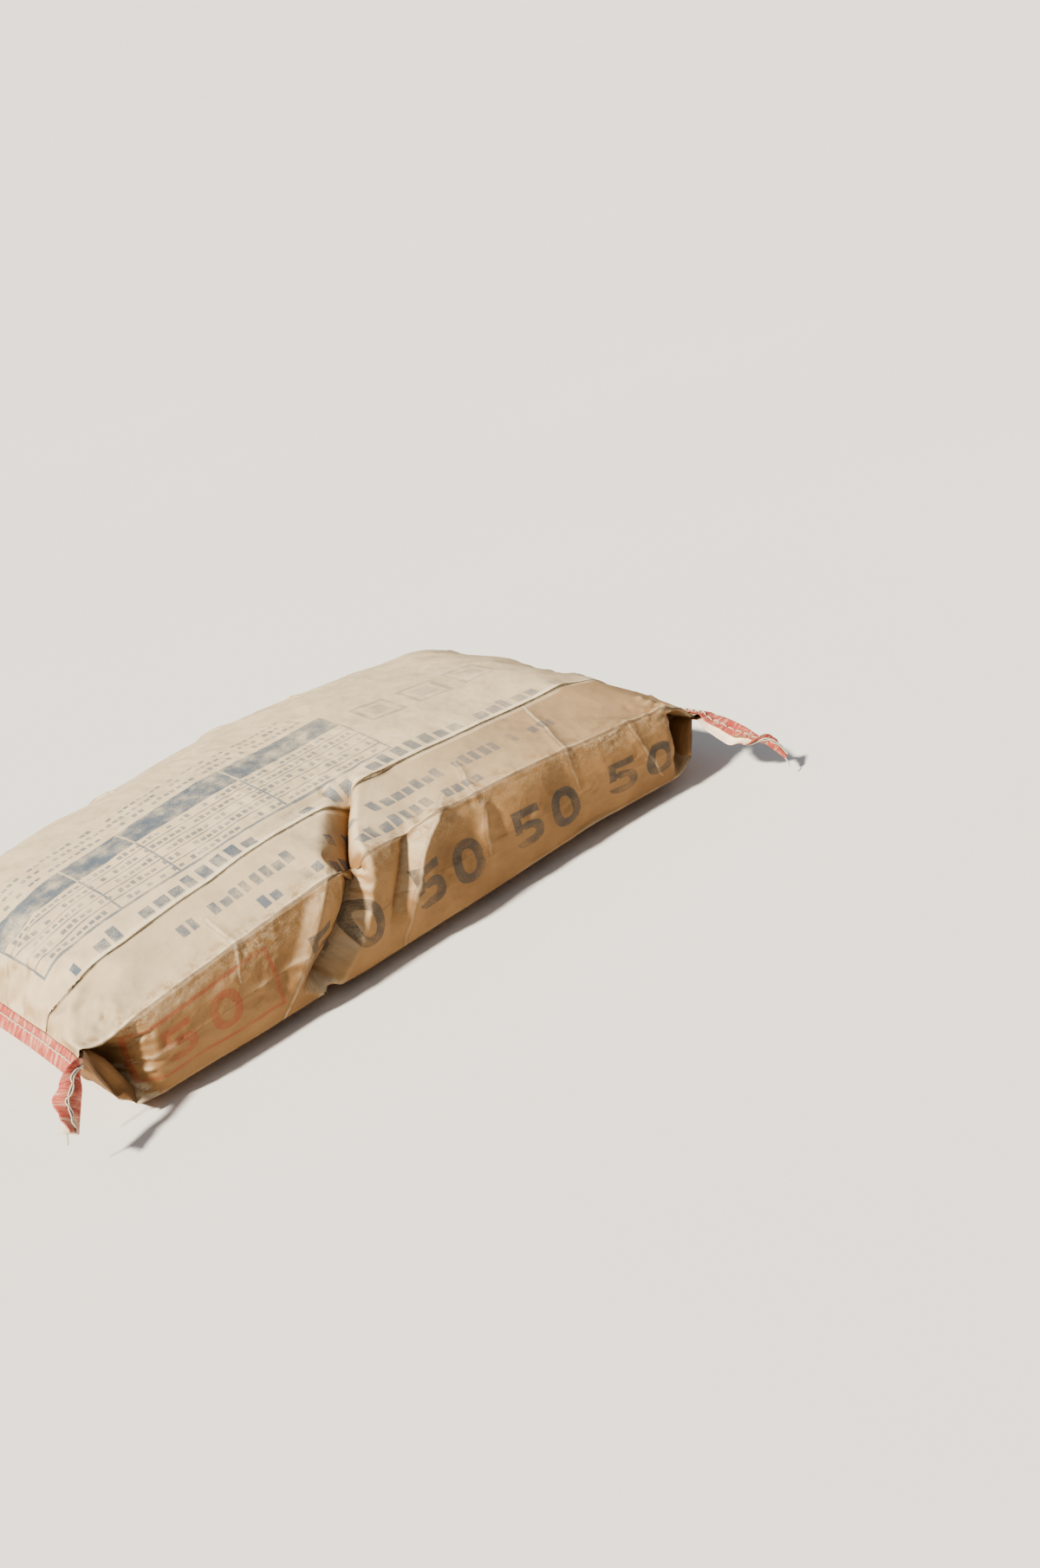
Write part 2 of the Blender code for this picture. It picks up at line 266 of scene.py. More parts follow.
# Thin sharp creases pressed into the filled sack
CREASES = (
    Fold(((214, -128), (201, -165), (186, -206), (189, -249)), 2.2, (7, 8), (5, 6), 1.0, (0.3, 0.3)),
    Fold(((240, -209), (263, -203), (267, -233), (289, -289)), 2.4, (8, 10), (6, 7), 1.0, (0.2, 0.4)),
    Fold(((83, -223), (76, -244), (74, -266)), 1.8, (6, 6), (5, 5), 1.0, (0.3, 0.3)),
    Fold(((-191, -168), (-190, -206), (-199, -240)), 1.6, (6, 6), (6, 6), 1.0, (0.3, 0.4)),
    Fold(((101, -158), (88, -187), (84, -203)), 1.8, (7, 7), (5, 5), 1.0, (0.3, 0.1)),
    Fold(((120, 120), (134, 168), (126, 206), (138, 250)), 2.4, (9, 8), (7, 7), 1.1, (0.4, 0.3)),
    Fold(((-96, 150), (-84, 186), (-92, 206), (-80, 262)), 2.8, (12, 10), (8, 8), 1.1, (0.4, 0.3)),
    Fold(((-210, 186), (-196, 206), (-202, 238), (-190, 280)), 2.2, (8, 8), (6, 6), 1.1, (0.3, 0.3)),
    Fold(((228, -170), (262, -188), (300, -204)), -1.6, (7, 7), (7, 7), 1.1, (0.3, 0.2)),
    Fold(((83, -206), (96, -228), (92, -262)), -1.6, (6, 6), (6, 6), 1.0, (0.1, 0.4)),
    Fold(((-302, -141), (-324, -154), (-341, -175)), 4.0, (12, 10), (10, 12), 1.2, (0.3, 0.3)),
    Fold(((-330, -60), (-296, -40), (-250, -34)), 3.4, (12, 14), (10, 10), 1.2, (0.1, 0.7)),
    Fold(((-332, 44), (-300, 30), (-262, 26)), 3.0, (10, 12), (9, 9), 1.2, (0.1, 0.7)),
    Fold(((-334, -112), (-300, -100), (-264, -98)), 2.6, (9, 10), (8, 8), 1.2, (0.1, 0.7)),
    Fold(((338, -90), (304, -70), (262, -66)), 3.0, (10, 12), (10, 10), 1.2, (0.1, 0.7)),
    Fold(((338, 60), (306, 78), (270, 82)), 2.6, (9, 10), (9, 10), 1.2, (0.1, 0.7)),
    Fold(((338, -20), (310, -8), (280, -2)), 2.2, (8, 9), (8, 9), 1.2, (0.1, 0.7)),
)
# Ridges whose edge is scuffed to a pale line: the first creases, and three pleats of the buckle
SCUFFED = CREASES[:8] + BUCKLE_FOLDS[2:5]


class Crumple(NamedTuple):
    """A patch of small random creases, in millimetres: its middle, its reach, and its creases."""

    place: tuple
    reach: tuple
    count: int
    length: tuple
    height: float


CRUMPLES = (
    Crumple((-44, -200), (14, 10), 16, (8, 18), 0.6),
    Crumple((-52, -236), (14, 22), 12, (10, 22), 0.8),
    Crumple((88, -208), (18, 14), 14, (8, 18), 0.8),
    Crumple((20, -206), (24, 12), 12, (8, 20), 0.7),
    Crumple((312, -198), (26, 22), 34, (10, 26), 1.9),
    Crumple((322, -250), (18, 28), 28, (10, 24), 1.7),
    Crumple((-300, -258), (30, 34), 36, (10, 28), 1.7),
    Crumple((-314, -188), (22, 24), 22, (10, 24), 1.4),
    Crumple((316, 214), (26, 40), 40, (10, 28), 1.6),
    Crumple((-304, 226), (30, 40), 40, (10, 28), 1.6),
    Crumple((-318, 0), (16, 130), 46, (12, 36), 1.3),
    Crumple((324, 0), (14, 130), 46, (12, 34), 1.3),
    Crumple((0, -256), (240, 26), 60, (12, 36), 1.0),
    Crumple((0, 256), (250, 26), 70, (12, 36), 1.1),
    Crumple((0, 0), (260, 160), 110, (18, 70), 0.7),
    *(Crumple((along, girth), (14, 60), 30, (12, 34), 1.3) for along in (-318, 322) for girth in (-400, 400)),
)
CRUMPLE_SEED = 12

# The lapped seam of the paper tube on the top panel, in metres. It is uneven by (a share, every so far),
# and pressed flat at both ends.
SEAM_GIRTH = -0.130
SEAM_SLANT = 0.024
SEAM_UNDERCUT = 0.0012
SEAM_EASE = 0.020
SEAM_WARP = 0.035
SEAM_UNEVEN = (0.35, 0.03)
SEAM_PRESSED = (0.27, 0.31)
# Where its flap gapes: place along, reach and height
SEAM_GAPE = ((0.034, 0.022, 0.0026), (0.268, 0.010, 0.0010), (-0.245, 0.020, 0.0006))
# The gussets' pressed folds, the same on both sides: place round the girth, height and reach, in metres
PRESSED_FOLDS = (
    (HALF_WIDTH, 0.0010, 0.0040),
    (HALF_WIDTH + GUSSET_GIRTH / 2, 0.0009, 0.0050),
    (HALF_WIDTH + GUSSET_GIRTH, 0.0006, 0.0040),
)
# Where marks begin and where they are full: dust by the rise of the paper's normal, scuffs and the
# darkening of inward bends (soiling and painted shade) by the paper's bend in 1/m
DUST_SLOPE = (0.15, 0.85)
RIDGE_BEND = (60.0, 320.0)
HOLLOW_BEND = (-50.0, -300.0)


class WordRows(NamedTuple):
    """Printed rows of plain blocks in groups like words, in metres on the flat paper."""

    left: float
    right: float
    low: float
    height: float
    pitch: float
    seed: int
    ink: float = 0.9
    spacing: float = 0.1
    count: int = 1


class Fifty(NamedTuple):
    """A plain bold 50: the left sides of its two numerals, their foot, size and stroke, in metres."""

    five: float
    nought: float
    low: float
    width: float
    height: float
    stroke: float


# Print on the flat paper in metres, rectangles as (left, right, low, high)
TABLE = (-0.324, 0.075, -0.104, -0.0245)
TABLE_FRAME = (0.002, 0.003)
TABLE_HEADER = (-0.324, 0.075, -0.0245, 0.0135)
TABLE_DIVIDERS = (-0.235, -0.170, -0.049)
TABLE_ROW = 0.0155
TABLE_WORDS = (
    WordRows(-0.314, 0.068, -0.0972, 0.0074, 0.0070, 11, 0.8, TABLE_ROW, 5),
    WordRows(-0.300, 0.060, 0.022, 0.0080, 0.0075, 21, 0.8, 0.015, 3),
)
SEAM_WORDS = WordRows(-0.306, 0.268, -0.1255, 0.019, 0.0165, 3, 1.0)
STRIP_WORDS = (
    WordRows(-0.232, 0.214, -0.171, 0.015, 0.0115, 5),
    WordRows(-0.150, 0.104, -0.196, 0.014, 0.0115, 8),
)
SQUARES = (0.091, 0.265)
SQUARE_PITCH = 0.058
SQUARE_GIRTH = -0.024
SIDE_FIFTY = Fifty(0.004, 0.050, -0.283, 0.034, 0.044, 0.0095)
SIDE_START = -0.135
SIDE_REACH = (-0.140, 0.300)
SIDE_PITCH = 0.118
RED_BOX = (-0.310, -0.165, -0.288, -0.222)
RED_STROKE = 0.004
BOXED_FIFTY = Fifty(-0.284, -0.236, -0.275, 0.032, 0.040, 0.0085)
INK_EDGE = 0.0008


def smooth(low, high, value):
    """A step from 0 to 1 that eases in and out, on numbers or arrays."""
    share = np.clip((value - low) / (high - low), 0.0, 1.0)
    return share * share * (3.0 - 2.0 * share)


def mixed(pair, share):
    """The pair's first value at a share of 0, its second at 1."""
    return pair[0] + (pair[1] - pair[0]) * share


def hill(value, middle, reach):
    """A round hill of height 1 about a middle."""
    return np.exp(-(((value - middle) / reach) ** 2))


def tent(distance, reach):
    """A ridge of height 1 that falls evenly to nothing at its reach."""
    return np.clip(1.0 - np.abs(distance) / reach, 0.0, 1.0)


def shoulder(distance, reach):
    """The rise of a panel from the lip to the full body, as a quarter of a blunt ellipse."""
    share = np.clip(distance / reach, 0.0, 1.0)
    blunt, rise = SHOULDER_POWERS
    return (1.0 - (1.0 - share) ** blunt) ** rise


def by_end(values, along):
    """The left or the right end's value, by the side of the middle that a point is on."""
    return np.where(along > 0.0, values["right"], values["left"])


def sack_form(along, across, level):
    """Maps points of the flat box (metres, metres, -1 to 1) to the filled sack."""
    outward = np.where(along > 0.0, 1.0, -1.0)
    share = np.minimum(1.0, np.abs(across) / HALF_WIDTH)
    on_side = share > 0.999
    edge = HALF_LENGTH - END_DRAW_IN * (1.0 - share**2)
    distance = edge - np.abs(along) * edge / HALF_LENGTH
    inside = np.maximum(distance - LIP_LENGTH, 0.0)
    closure_here = by_end(CLOSURE_HEIGHT, along)
    rightward = 0.5 + 0.5 * along / HALF_LENGTH
    closure = CLOSURE_HEIGHT["left"] * (1.0 - rightward) + CLOSURE_HEIGHT["right"] * rightward
    closure += (closure_here - closure) * (1.0 - smooth(0.0, TOP_SHOULDER[0], inside))

    crown = SACK_HEIGHT - TOP_CREASE_DROP * share**CROWN_POWER
    crown -= TOP_FALL_AT_ENDS * (along / HALF_LENGTH) ** 2
    crown -= CREASE_FALL_AT_ENDS * share * (1.0 - smooth(0.0, HALF_LENGTH, inside))
    top = closure + LIP_THICKNESS / 2
    top += (crown - top) * shoulder(inside, mixed(TOP_SHOULDER, share**2))

    rest = BOTTOM_CREASE_RISE * smooth(FLAT_SHARE, 1.0, share)
    bottom = closure - LIP_THICKNESS / 2
    bottom += (rest - bottom) * shoulder(inside, mixed(BOTTOM_SHOULDER, share**2))

    filled = smooth(POCKET_MOUTH, by_end(POCKET_LENGTH, along), inside)
    bulge = on_side * SIDE_BULGE * filled * (1.0 - level**2)
    blunt = 1.0 + smooth(0.0, POCKET_MOUTH, inside)
    tuck = on_side * POCKET_DEPTH * (1.0 - filled) * (1.0 - np.abs(level) ** blunt)
    edge = edge - END_DRAW_IN * (1.0 - (1.0 - tuck / HALF_WIDTH) ** 2)
    body = np.stack([
        outward * (edge - distance),
        np.sign(across) * (np.abs(across) + bulge - tuck),
        bottom + (top - bottom) * (level + 1.0) / 2,
    ], axis=-1)

    droop = by_end(LIP_DROOP, along)
    reach = LIP_LENGTH - distance
    rise = level * LIP_THICKNESS / 2
    lip = np.stack([
        outward * (edge - LIP_LENGTH + reach * np.cos(droop) + rise * np.sin(droop)),
        np.sign(across) * (np.abs(across) - tuck),
        closure_here - reach * np.sin(droop) + rise * np.cos(droop),
    ], axis=-1)
    return np.where((distance <= LIP_LENGTH)[..., None], lip, body)


def graded(start, stop, cells, density):
    """Places from start to stop, cells apart, closer together where the density is higher."""
    fine = np.linspace(start, stop, 2001)
    run = np.concatenate([[0.0], np.cumsum(density(fine))[:-1]])
    return np.interp(np.linspace(0.0, run[-1], cells + 1), run, fine)


def length_stations():
    """Places along the sack, closer together at the buckle and at both ends."""
    return graded(-HALF_LENGTH, HALF_LENGTH, LENGTH_CELLS, lambda x: (
        1.0 + hill(x, BUCKLE_ALONG, 0.10) + 0.6 * smooth(0.24, 0.34, np.abs(x))))


def girth_stations():
    """Places round the girth as (across, level, paper), from the bottom's middle by the near side."""
    bottom, near, top, far = GIRTH_CELLS
    crossing = graded(-HALF_WIDTH, HALF_WIDTH, top, lambda y: 1.0 + 0.8 * hill(y, -HALF_WIDTH, 0.1))
    half = np.linspace(0.0, HALF_WIDTH, bottom + 1)
    near_level = np.linspace(-1.0, 1.0, near + 1)
    far_level = np.linspace(1.0, -1.0, far + 1)
    across = np.concatenate([
        -half, np.full(near, -HALF_WIDTH), crossing[1:], np.full(far, HALF_WIDTH), half[-2:0:-1]])
    level = np.concatenate([
        np.full(bottom + 1, -1.0), near_level[1:], np.ones(top), far_level[1:], np.full(bottom - 1, -1.0)])
    paper = np.concatenate([
        half - HALF_GIRTH,
        -HALF_WIDTH - GUSSET_GIRTH * (1.0 - near_level[1:]) / 2,
        crossing[1:],
        HALF_WIDTH + GUSSET_GIRTH * (1.0 - far_level[1:]) / 2,
        HALF_GIRTH - half[-2:0:-1],
    ])
    return across, level, paper


def between(grid, axis, closed):
    """The grid with a row added between each two along an axis, by four-point interpolation."""
    grid = np.moveaxis(grid, axis, 0)
    if closed:
        padded = np.concatenate([grid[-1:], grid, grid[:2]])
    else:
        padded = np.concatenate([2 * grid[:1] - grid[1:2], grid, 2 * grid[-1:] - grid[-2:-1]])
    middle = (9 * (padded[1:-2] + padded[2:-1]) - padded[:-3] - padded[3:]) / 16
    finer = np.empty((len(grid) + len(middle),) + grid.shape[1:])
    finer[0::2] = grid
    finer[1::2] = middle
    return np.moveaxis(finer, 0, axis)


def curve_through(points, steps=12):
    """A smooth line through a few points, as a dense polyline (Catmull-Rom)."""
    points = np.array(points, float)
    ends = np.vstack([2 * points[0] - points[1], points, 2 * points[-1] - points[-2]])
    t = np.linspace(0, 1, steps, endpoint=False)[:, None]
    line = []
    for a, b, c, d in zip(ends, ends[1:], ends[2:], ends[3:]):
        line.append(b + 0.5 * t * (c - a + t * (2 * a - 5 * b + 4 * c - d + t * (3 * (b - c) + d - a))))
    return np.vstack([*line, points[-1:]])


def line_coordinates(line, place):
    """For each place, the share of the line's length and the signed distance from it, left being positive."""
    start, step = line[:-1], np.diff(line, axis=0)
    length = np.linalg.norm(step, axis=1)
    run = np.concatenate([[0.0], np.cumsum(length)])
    best = np.full(place.shape[:-1], np.inf)
    share, side = np.zeros_like(best), np.ones_like(best)
    for a, d, n, s in zip(start, step, length, run):
        offset = place - a
        t = np.clip((offset @ d) / n**2, 0.0, 1.0)
        gap = np.linalg.norm(offset - t[..., None] * d, axis=-1)
        closer = gap < best
        best = np.where(closer, gap, best)
        share = np.where(closer, (s + t * n) / run[-1], share)
        side = np.where(closer, np.sign(d[0] * offset[..., 1] - d[1] * offset[..., 0]), side)
    return share, best * side


def fold_height(folds, paper):
    """How far folds lift the paper at (along, round the girth), in metres."""
    lift = np.zeros(paper.shape[:-1])
    place = paper * 1000
    for fold in folds:
        line = curve_through(fold.route)
        margin = max(*fold.left, *fold.right)
        low, high = line.min(axis=0) - margin, line.max(axis=0) + margin
        window = ((place > low) & (place < high)).all(axis=-1)
        share, distance = line_coordinates(line, place[window])
        reach = np.where(distance > 0, mixed(fold.left, share), mixed(fold.right, share))
        ends = smooth(0.0, fold.fade[0], share) * smooth(0.0, fold.fade[1], 1.0 - share)
        lift[window] += fold.height / 1000 * tent(distance, reach) ** fold.power * ends
    return lift


def outward_normals(places):
    """Unit normals of a grid of places that closes round the girth."""
    along = np.gradient(places, axis=0)
    wrapped = np.concatenate([places[:, -1:], places, places[:, :1]], axis=1)
    round_girth = (wrapped[:, 2:] - wrapped[:, :-2]) / 2
    normal = np.cross(along, round_girth)
    normal /= np.linalg.norm(normal, axis=-1, keepdims=True) + 1e-12
    return normal


def swell(paper, scale, seed):
    """Smooth random swells of about unit height over the flat paper, scale metres apart."""
    lattice = np.random.default_rng(seed).uniform(-1.0, 1.0, (LATTICE, LATTICE))
    place = paper / scale + 20.0
    cell = np.floor(place).astype(int)
    t = place - cell
    value = np.zeros(paper.shape[:-1])
    weights = [
        (1 - t) ** 3 / 6, (3 * t**3 - 6 * t**2 + 4) / 6, (-3 * t**3 + 3 * t**2 + 3 * t + 1) / 6, t**3 / 6]
    for i in range(4):
        for j in range(4):
            value += weights[i][..., 0] * weights[j][..., 1] * lattice[
                (cell[..., 0] + i) % LATTICE, (cell[..., 1] + j) % LATTICE]
    return 1.8 * value


def build_sheet(name, places, flat, tube=False, turned=False):
    """A grid of places as a mesh, with a UV map in metres of the flat sheet.

    A tube's last row joins its first, and "station" says which place each of its vertices has.
    A turned sheet faces the other way.
    """
    rows = places.shape[1]
    if tube:
        places = np.concatenate([places, places[:, :1]], axis=1)
        flat = np.concatenate([flat, flat[:, :1] * (1, -1)], axis=1)
    last_column, last_row = places.shape[0] - 1, places.shape[1] - 1
    bm = bmesh.new()
    bmesh.ops.create_grid(bm, x_segments=last_column, y_segments=last_row, size=0.5)
    bm.verts.ensure_lookup_table()
    cells = [
        (round((vert.co.x + 0.5) * last_column), round((vert.co.y + 0.5) * last_row)) for vert in bm.verts]
    uv = bm.loops.layers.uv.new("paper")
    for face in bm.faces:
        for loop in face.loops:
            loop[uv].uv = flat[cells[loop.vert.index]]
    for vert, cell in zip(bm.verts, cells):
        vert.co = places[cell]
    if tube:
        station = bm.verts.layers.int.new("station")
        for vert, (i, j) in zip(bm.verts, cells):
            vert[station] = i * rows + j % rows
        seam = [vert for vert, (_, j) in zip(bm.verts, cells) if j in (0, rows)]
        bmesh.ops.remove_doubles(bm, verts=seam, dist=1e-7)
        bmesh.ops.recalc_face_normals(bm, faces=bm.faces)
    if turned:
        bmesh.ops.reverse_faces(bm, faces=bm.faces)
    mesh = bpy.data.meshes.new(name)
    bm.to_mesh(mesh)
    bm.free()
    return mesh


def close_mouths(mesh):
    """Closes both ends of a paper tube."""
    bm = bmesh.new()
    bm.from_mesh(mesh)
    mouths = [edge for edge in bm.edges if edge.is_boundary]
    caps = bmesh.ops.holes_fill(bm, edges=mouths, sides=0)["faces"]
    bmesh.ops.triangulate(bm, faces=caps, quad_method="BEAUTY", ngon_method="EAR_CLIP")
    bmesh.ops.recalc_face_normals(bm, faces=bm.faces)
    bm.to_mesh(mesh)
    bm.free()


def stations_of(mesh):
    """Which place of its grid each vertex of a paper tube has."""
    index = np.empty(len(mesh.vertices), np.int32)
    mesh.attributes["station"].data.foreach_get("value", index)
    return index


def flat_paper():
    """The cloth grid's (along, round the girth) places on the flat paper."""
    return np.stack(np.broadcast_arrays(length_stations()[:, None], girth_stations()[2]), axis=-1)


def free_part(places, paper, from_lip, from_floor):
    """0 at the lips and on the floor, 1 where the paper is well away from them."""
    gap = HALF_LENGTH - LIP_LENGTH - np.abs(paper[..., 0])
    return smooth(0.0, from_lip, gap) * smooth(*from_floor, places[..., 2])


def filled_form(size):
    """The cloth grid's places on the filled sack, with its buckle and swells, before the paper settles."""
    across, level, _ = girth_stations()
    along = length_stations()[:, None]
    places = sack_form(along + 0 * across, across + 0 * along, level + 0 * along)
    paper = flat_paper()
    loose = free_part(places, paper, from_lip=0.05, from_floor=(0.003, 0.02))
    lift = fold_height(BUCKLE_FOLDS + FAR_FOLDS, paper)
    swells = size.swell_height * swell(paper, SWELL_SPACING, seed=3)
    lift += swells + size.ripple_height * swell(paper, RIPPLE_SPACING, seed=5)
    places = places + (lift * loose)[..., None] * outward_normals(places)
    places[..., 0] -= fold_height(LOBE_SLIDE, paper)
    return places


def add_object(name, data):
    """A new object with its data in the scene."""
    added = bpy.data.objects.new(name, data)
    bpy.context.scene.collection.objects.link(added)
    return added


def settle(places, paper):
    """Lets the paper, cut a little larger than the form, wrinkle about it as cloth."""
    inset = HALF_LENGTH - np.abs(paper[..., 0])
    round_girth = np.abs(paper[..., 1])
    near_end = 1.0 - smooth(*END_ZONE, inset)
    on_side = smooth(*SIDE_ZONE[0], round_girth) * (1.0 - smooth(*SIDE_ZONE[1], round_girth))
    (along, length), (girth, width) = BUCKLE_ZONE
    at_buckle = np.exp(-((paper[..., 0] - along) / length) ** 2 - ((paper[..., 1] - girth) / width) ** 2)
    slack = (
        SLACK["everywhere"] + SLACK["ends"] * near_end
        + SLACK["sides"] * on_side + SLACK["buckle"] * at_buckle)
    on_top = (1.0 - smooth(*TOP_ZONE, round_girth)) * (1.0 - near_end)
    hold = HOLD["loose"] + (HOLD["top"] - HOLD["loose"]) * on_top
    hold = np.where(places[..., 2] < FLOOR_ZONE, HOLD["floor"], hold)
    hold = np.where(inset < LIP_LENGTH - FREE_LIP, 1.0, hold)

    mesh = build_sheet("settling", places, paper, tube=True)
    piece = add_object("settling", mesh)
    index = stations_of(mesh)
    held = piece.vertex_groups.new(name="held")
    taut = piece.vertex_groups.new(name="taut")
    most = slack.max()
    for vert, (grip, spare) in enumerate(zip(hold.ravel()[index], slack.ravel()[index])):
        held.add([vert], float(grip), "REPLACE")
        taut.add([vert], float(1.0 - spare / most), "REPLACE")
    cloth = piece.modifiers.new("paper", "CLOTH")
    fibre = cloth.settings
    for name, value in CLOTH.items():
        setattr(fibre, name, value)
    fibre.effector_weights.gravity = 0.0
    fibre.vertex_group_mass = "held"
    fibre.vertex_group_shrink = "taut"
    fibre.shrink_min = -most
    fibre.shrink_max = 0.0
    for step in range(1, CLOTH_FRAMES + 1):
        bpy.context.scene.frame_set(step)
    settled = piece.evaluated_get(bpy.context.evaluated_depsgraph_get())
    flat = np.empty(len(mesh.vertices) * 3, np.float32)
    settled.data.vertices.foreach_get("co", flat)
    result = places.reshape(-1, 3).copy()
    result[index] = flat.reshape(-1, 3)
    bpy.data.objects.remove(piece)
    bpy.data.meshes.remove(mesh)
    bpy.context.scene.frame_set(1)
    return result.reshape(places.shape)


def refined(grid):
    """A grid of the paper tube with twice the cells both ways."""
    return between(between(grid, 0, False), 1, True)


def fine_paper():
    """The flat paper's places on the fine grid. The girth is measured on without a break at its seam."""
    paper = flat_paper()
    unrolled = np.concatenate([paper, paper[:, :1] * (1, -1)], axis=1)
    return between(between(unrolled, 0, False), 1, False)[:, :-1]


def bend_of(places):
    """How sharply the paper bends out (above 0) or in at each place, in 1/m, softened a little."""
    normal = outward_normals(places)
    bend = np.zeros(places.shape[:2])
    for before, after in (
            (np.concatenate([places[:1], places[:-1]]), np.concatenate([places[1:], places[-1:]])),
            (np.roll(places, 1, axis=1), np.roll(places, -1, axis=1))):
        span = np.linalg.norm(after - before, axis=-1) / 2 + 1e-6
        bend -= ((before + after - 2 * places) * normal).sum(axis=-1) / span**2
    for _ in range(2):
        bend = (2 * bend + np.roll(bend, 1, axis=1) + np.roll(bend, -1, axis=1)) / 4
        bend[1:-1] = (2 * bend[1:-1] + bend[2:] + bend[:-2]) / 4
    return bend


def mark_paper(mesh, places):
    """Stores where dust lies, where ridges are scuffed and where inward bends are darkened by soiling and
    painted shade.
    """
    index = stations_of(mesh)
    facing = outward_normals(places)[..., 2]
    bend = bend_of(places)
    marks = {
        "dust": smooth(*DUST_SLOPE, facing),
        "ridge": smooth(*RIDGE_BEND, bend),
        "hollow_grime_and_shade": smooth(*HOLLOW_BEND, bend),
    }
    for name, values in marks.items():
        layer = mesh.attributes.new(name, "FLOAT", "POINT")
        layer.data.foreach_set("value", values.ravel()[index].astype(np.float32))


def crumpled():
    """The small random creases of every crumpled patch."""
    rng = np.random.default_rng(CRUMPLE_SEED)
    folds = []
    for patch in CRUMPLES:
        for _ in range(patch.count):
            middle = np.array(patch.place) + rng.normal(0.0, 0.5, 2) * patch.reach
            heading = rng.uniform(0.0, math.pi)
            length = rng.uniform(*patch.length)
            ahead = np.array((math.cos(heading), math.sin(heading))) * length / 2
            bow = np.array((-ahead[1], ahead[0])) * rng.uniform(-0.25, 0.25)
            height = patch.height * rng.uniform(0.4, 1.2) * rng.choice((-1.0, 1.0))
            flank = rng.uniform(3.0, 4.0 + length / 8, 2)
            folds.append(Fold(
                (middle - ahead, middle + bow, middle + ahead), height,
                (flank[0], flank[0]), (flank[1], flank[1]), 1.1, (0.4, 0.4)))
    return folds


def lap_seam(places, paper, size):
    """Slides two rows to the tube's lapped seam, and lifts its flap a little off the paper below."""
    along = paper[:, 0, 0]
    girth = paper[0, :, 1]
    seam = SEAM_GIRTH + SEAM_SLANT * along
    edge = int(np.argmin(np.abs(girth - SEAM_GIRTH)))
    moved = girth + (seam[:, None] - girth[edge]) * tent(girth - girth[edge], SEAM_WARP)
    moved[:, edge - 1] = seam + SEAM_UNDERCUT
    for i, row in enumerate(moved):
        for axis in range(3):
            places[i, :, axis] = np.interp(row, girth, places[i, :, axis])
    paper = np.stack([paper[..., 0], moved], axis=-1)
    step = size.seam_step * (1.0 + SEAM_UNEVEN[0] * swell(paper[:, edge], SEAM_UNEVEN[1], seed=9))
    for middle, reach, height in SEAM_GAPE:
        step = step + height * hill(along, middle, reach)
    step = step * (1.0 - smooth(*SEAM_PRESSED, np.abs(along)))
    above = np.exp(-(moved - seam[:, None]) / SEAM_EASE) * (np.arange(len(girth)) >= edge)
    above[:, edge - 1] = -0.5
    return places + (step[:, None] * above)[..., None] * outward_normals(places), paper


def crease_paper(places, paper, size):
    """Presses the folds, the creases and the crumpled patches into the fine paper."""
    loose = free_part(places, paper, from_lip=0.02, from_floor=(0.002, 0.012))
    lift = fold_height(CREASES, paper) + fold_height(crumpled(), paper)
    uneven = (0.7 + 0.5 * swell(paper, 0.05, seed=21)) * (1.0 - hill(paper[..., 0], BUCKLE_ALONG, 0.022))
    for middle, height, reach in PRESSED_FOLDS:
        lift += height * tent(np.abs(paper[..., 1]) - middle, reach) * uneven
    return places + (size.crease_share * lift * loose)[..., None] * outward_normals(places)


def build_sack(size):
    """The creased paper tube, settled as cloth and refined."""
    places = filled_form(size)
    places = settle(places, flat_paper())
    places = refined(places)
    paper = fine_paper()
    places = crease_paper(places, paper, size)
    places, paper = lap_seam(places, paper, size)
    places[..., 2] = np.maximum(places[..., 2], 0.0)
    mesh = build_sheet("sack_paper", places, paper, tube=True)
    close_mouths(mesh)
    mark_paper(mesh, places)
    return mesh


def lip_edge(end, across):
    """Points on the outer edge of a lip, midway between its leaves."""
    share = np.minimum(1.0, np.abs(across) / HALF_WIDTH)
    edge = HALF_LENGTH - END_DRAW_IN * (1.0 - share**2)
    x = ENDS[end] * (edge - LIP_LENGTH + LIP_LENGTH * math.cos(LIP_DROOP[end]))
    z = CLOSURE_HEIGHT[end] - LIP_LENGTH * math.sin(LIP_DROOP[end]) + 0.0 * across
    return np.stack([x, across, z], axis=-1)


def keyed(share, values):
    """Eases through evenly spaced values, over shares from 0 to 1."""
    place = np.clip(share, 0.0, 1.0) * (len(values) - 1)
    return np.interp(np.floor(place) + smooth(0.0, 1.0, place % 1.0), np.arange(len(values)), values)


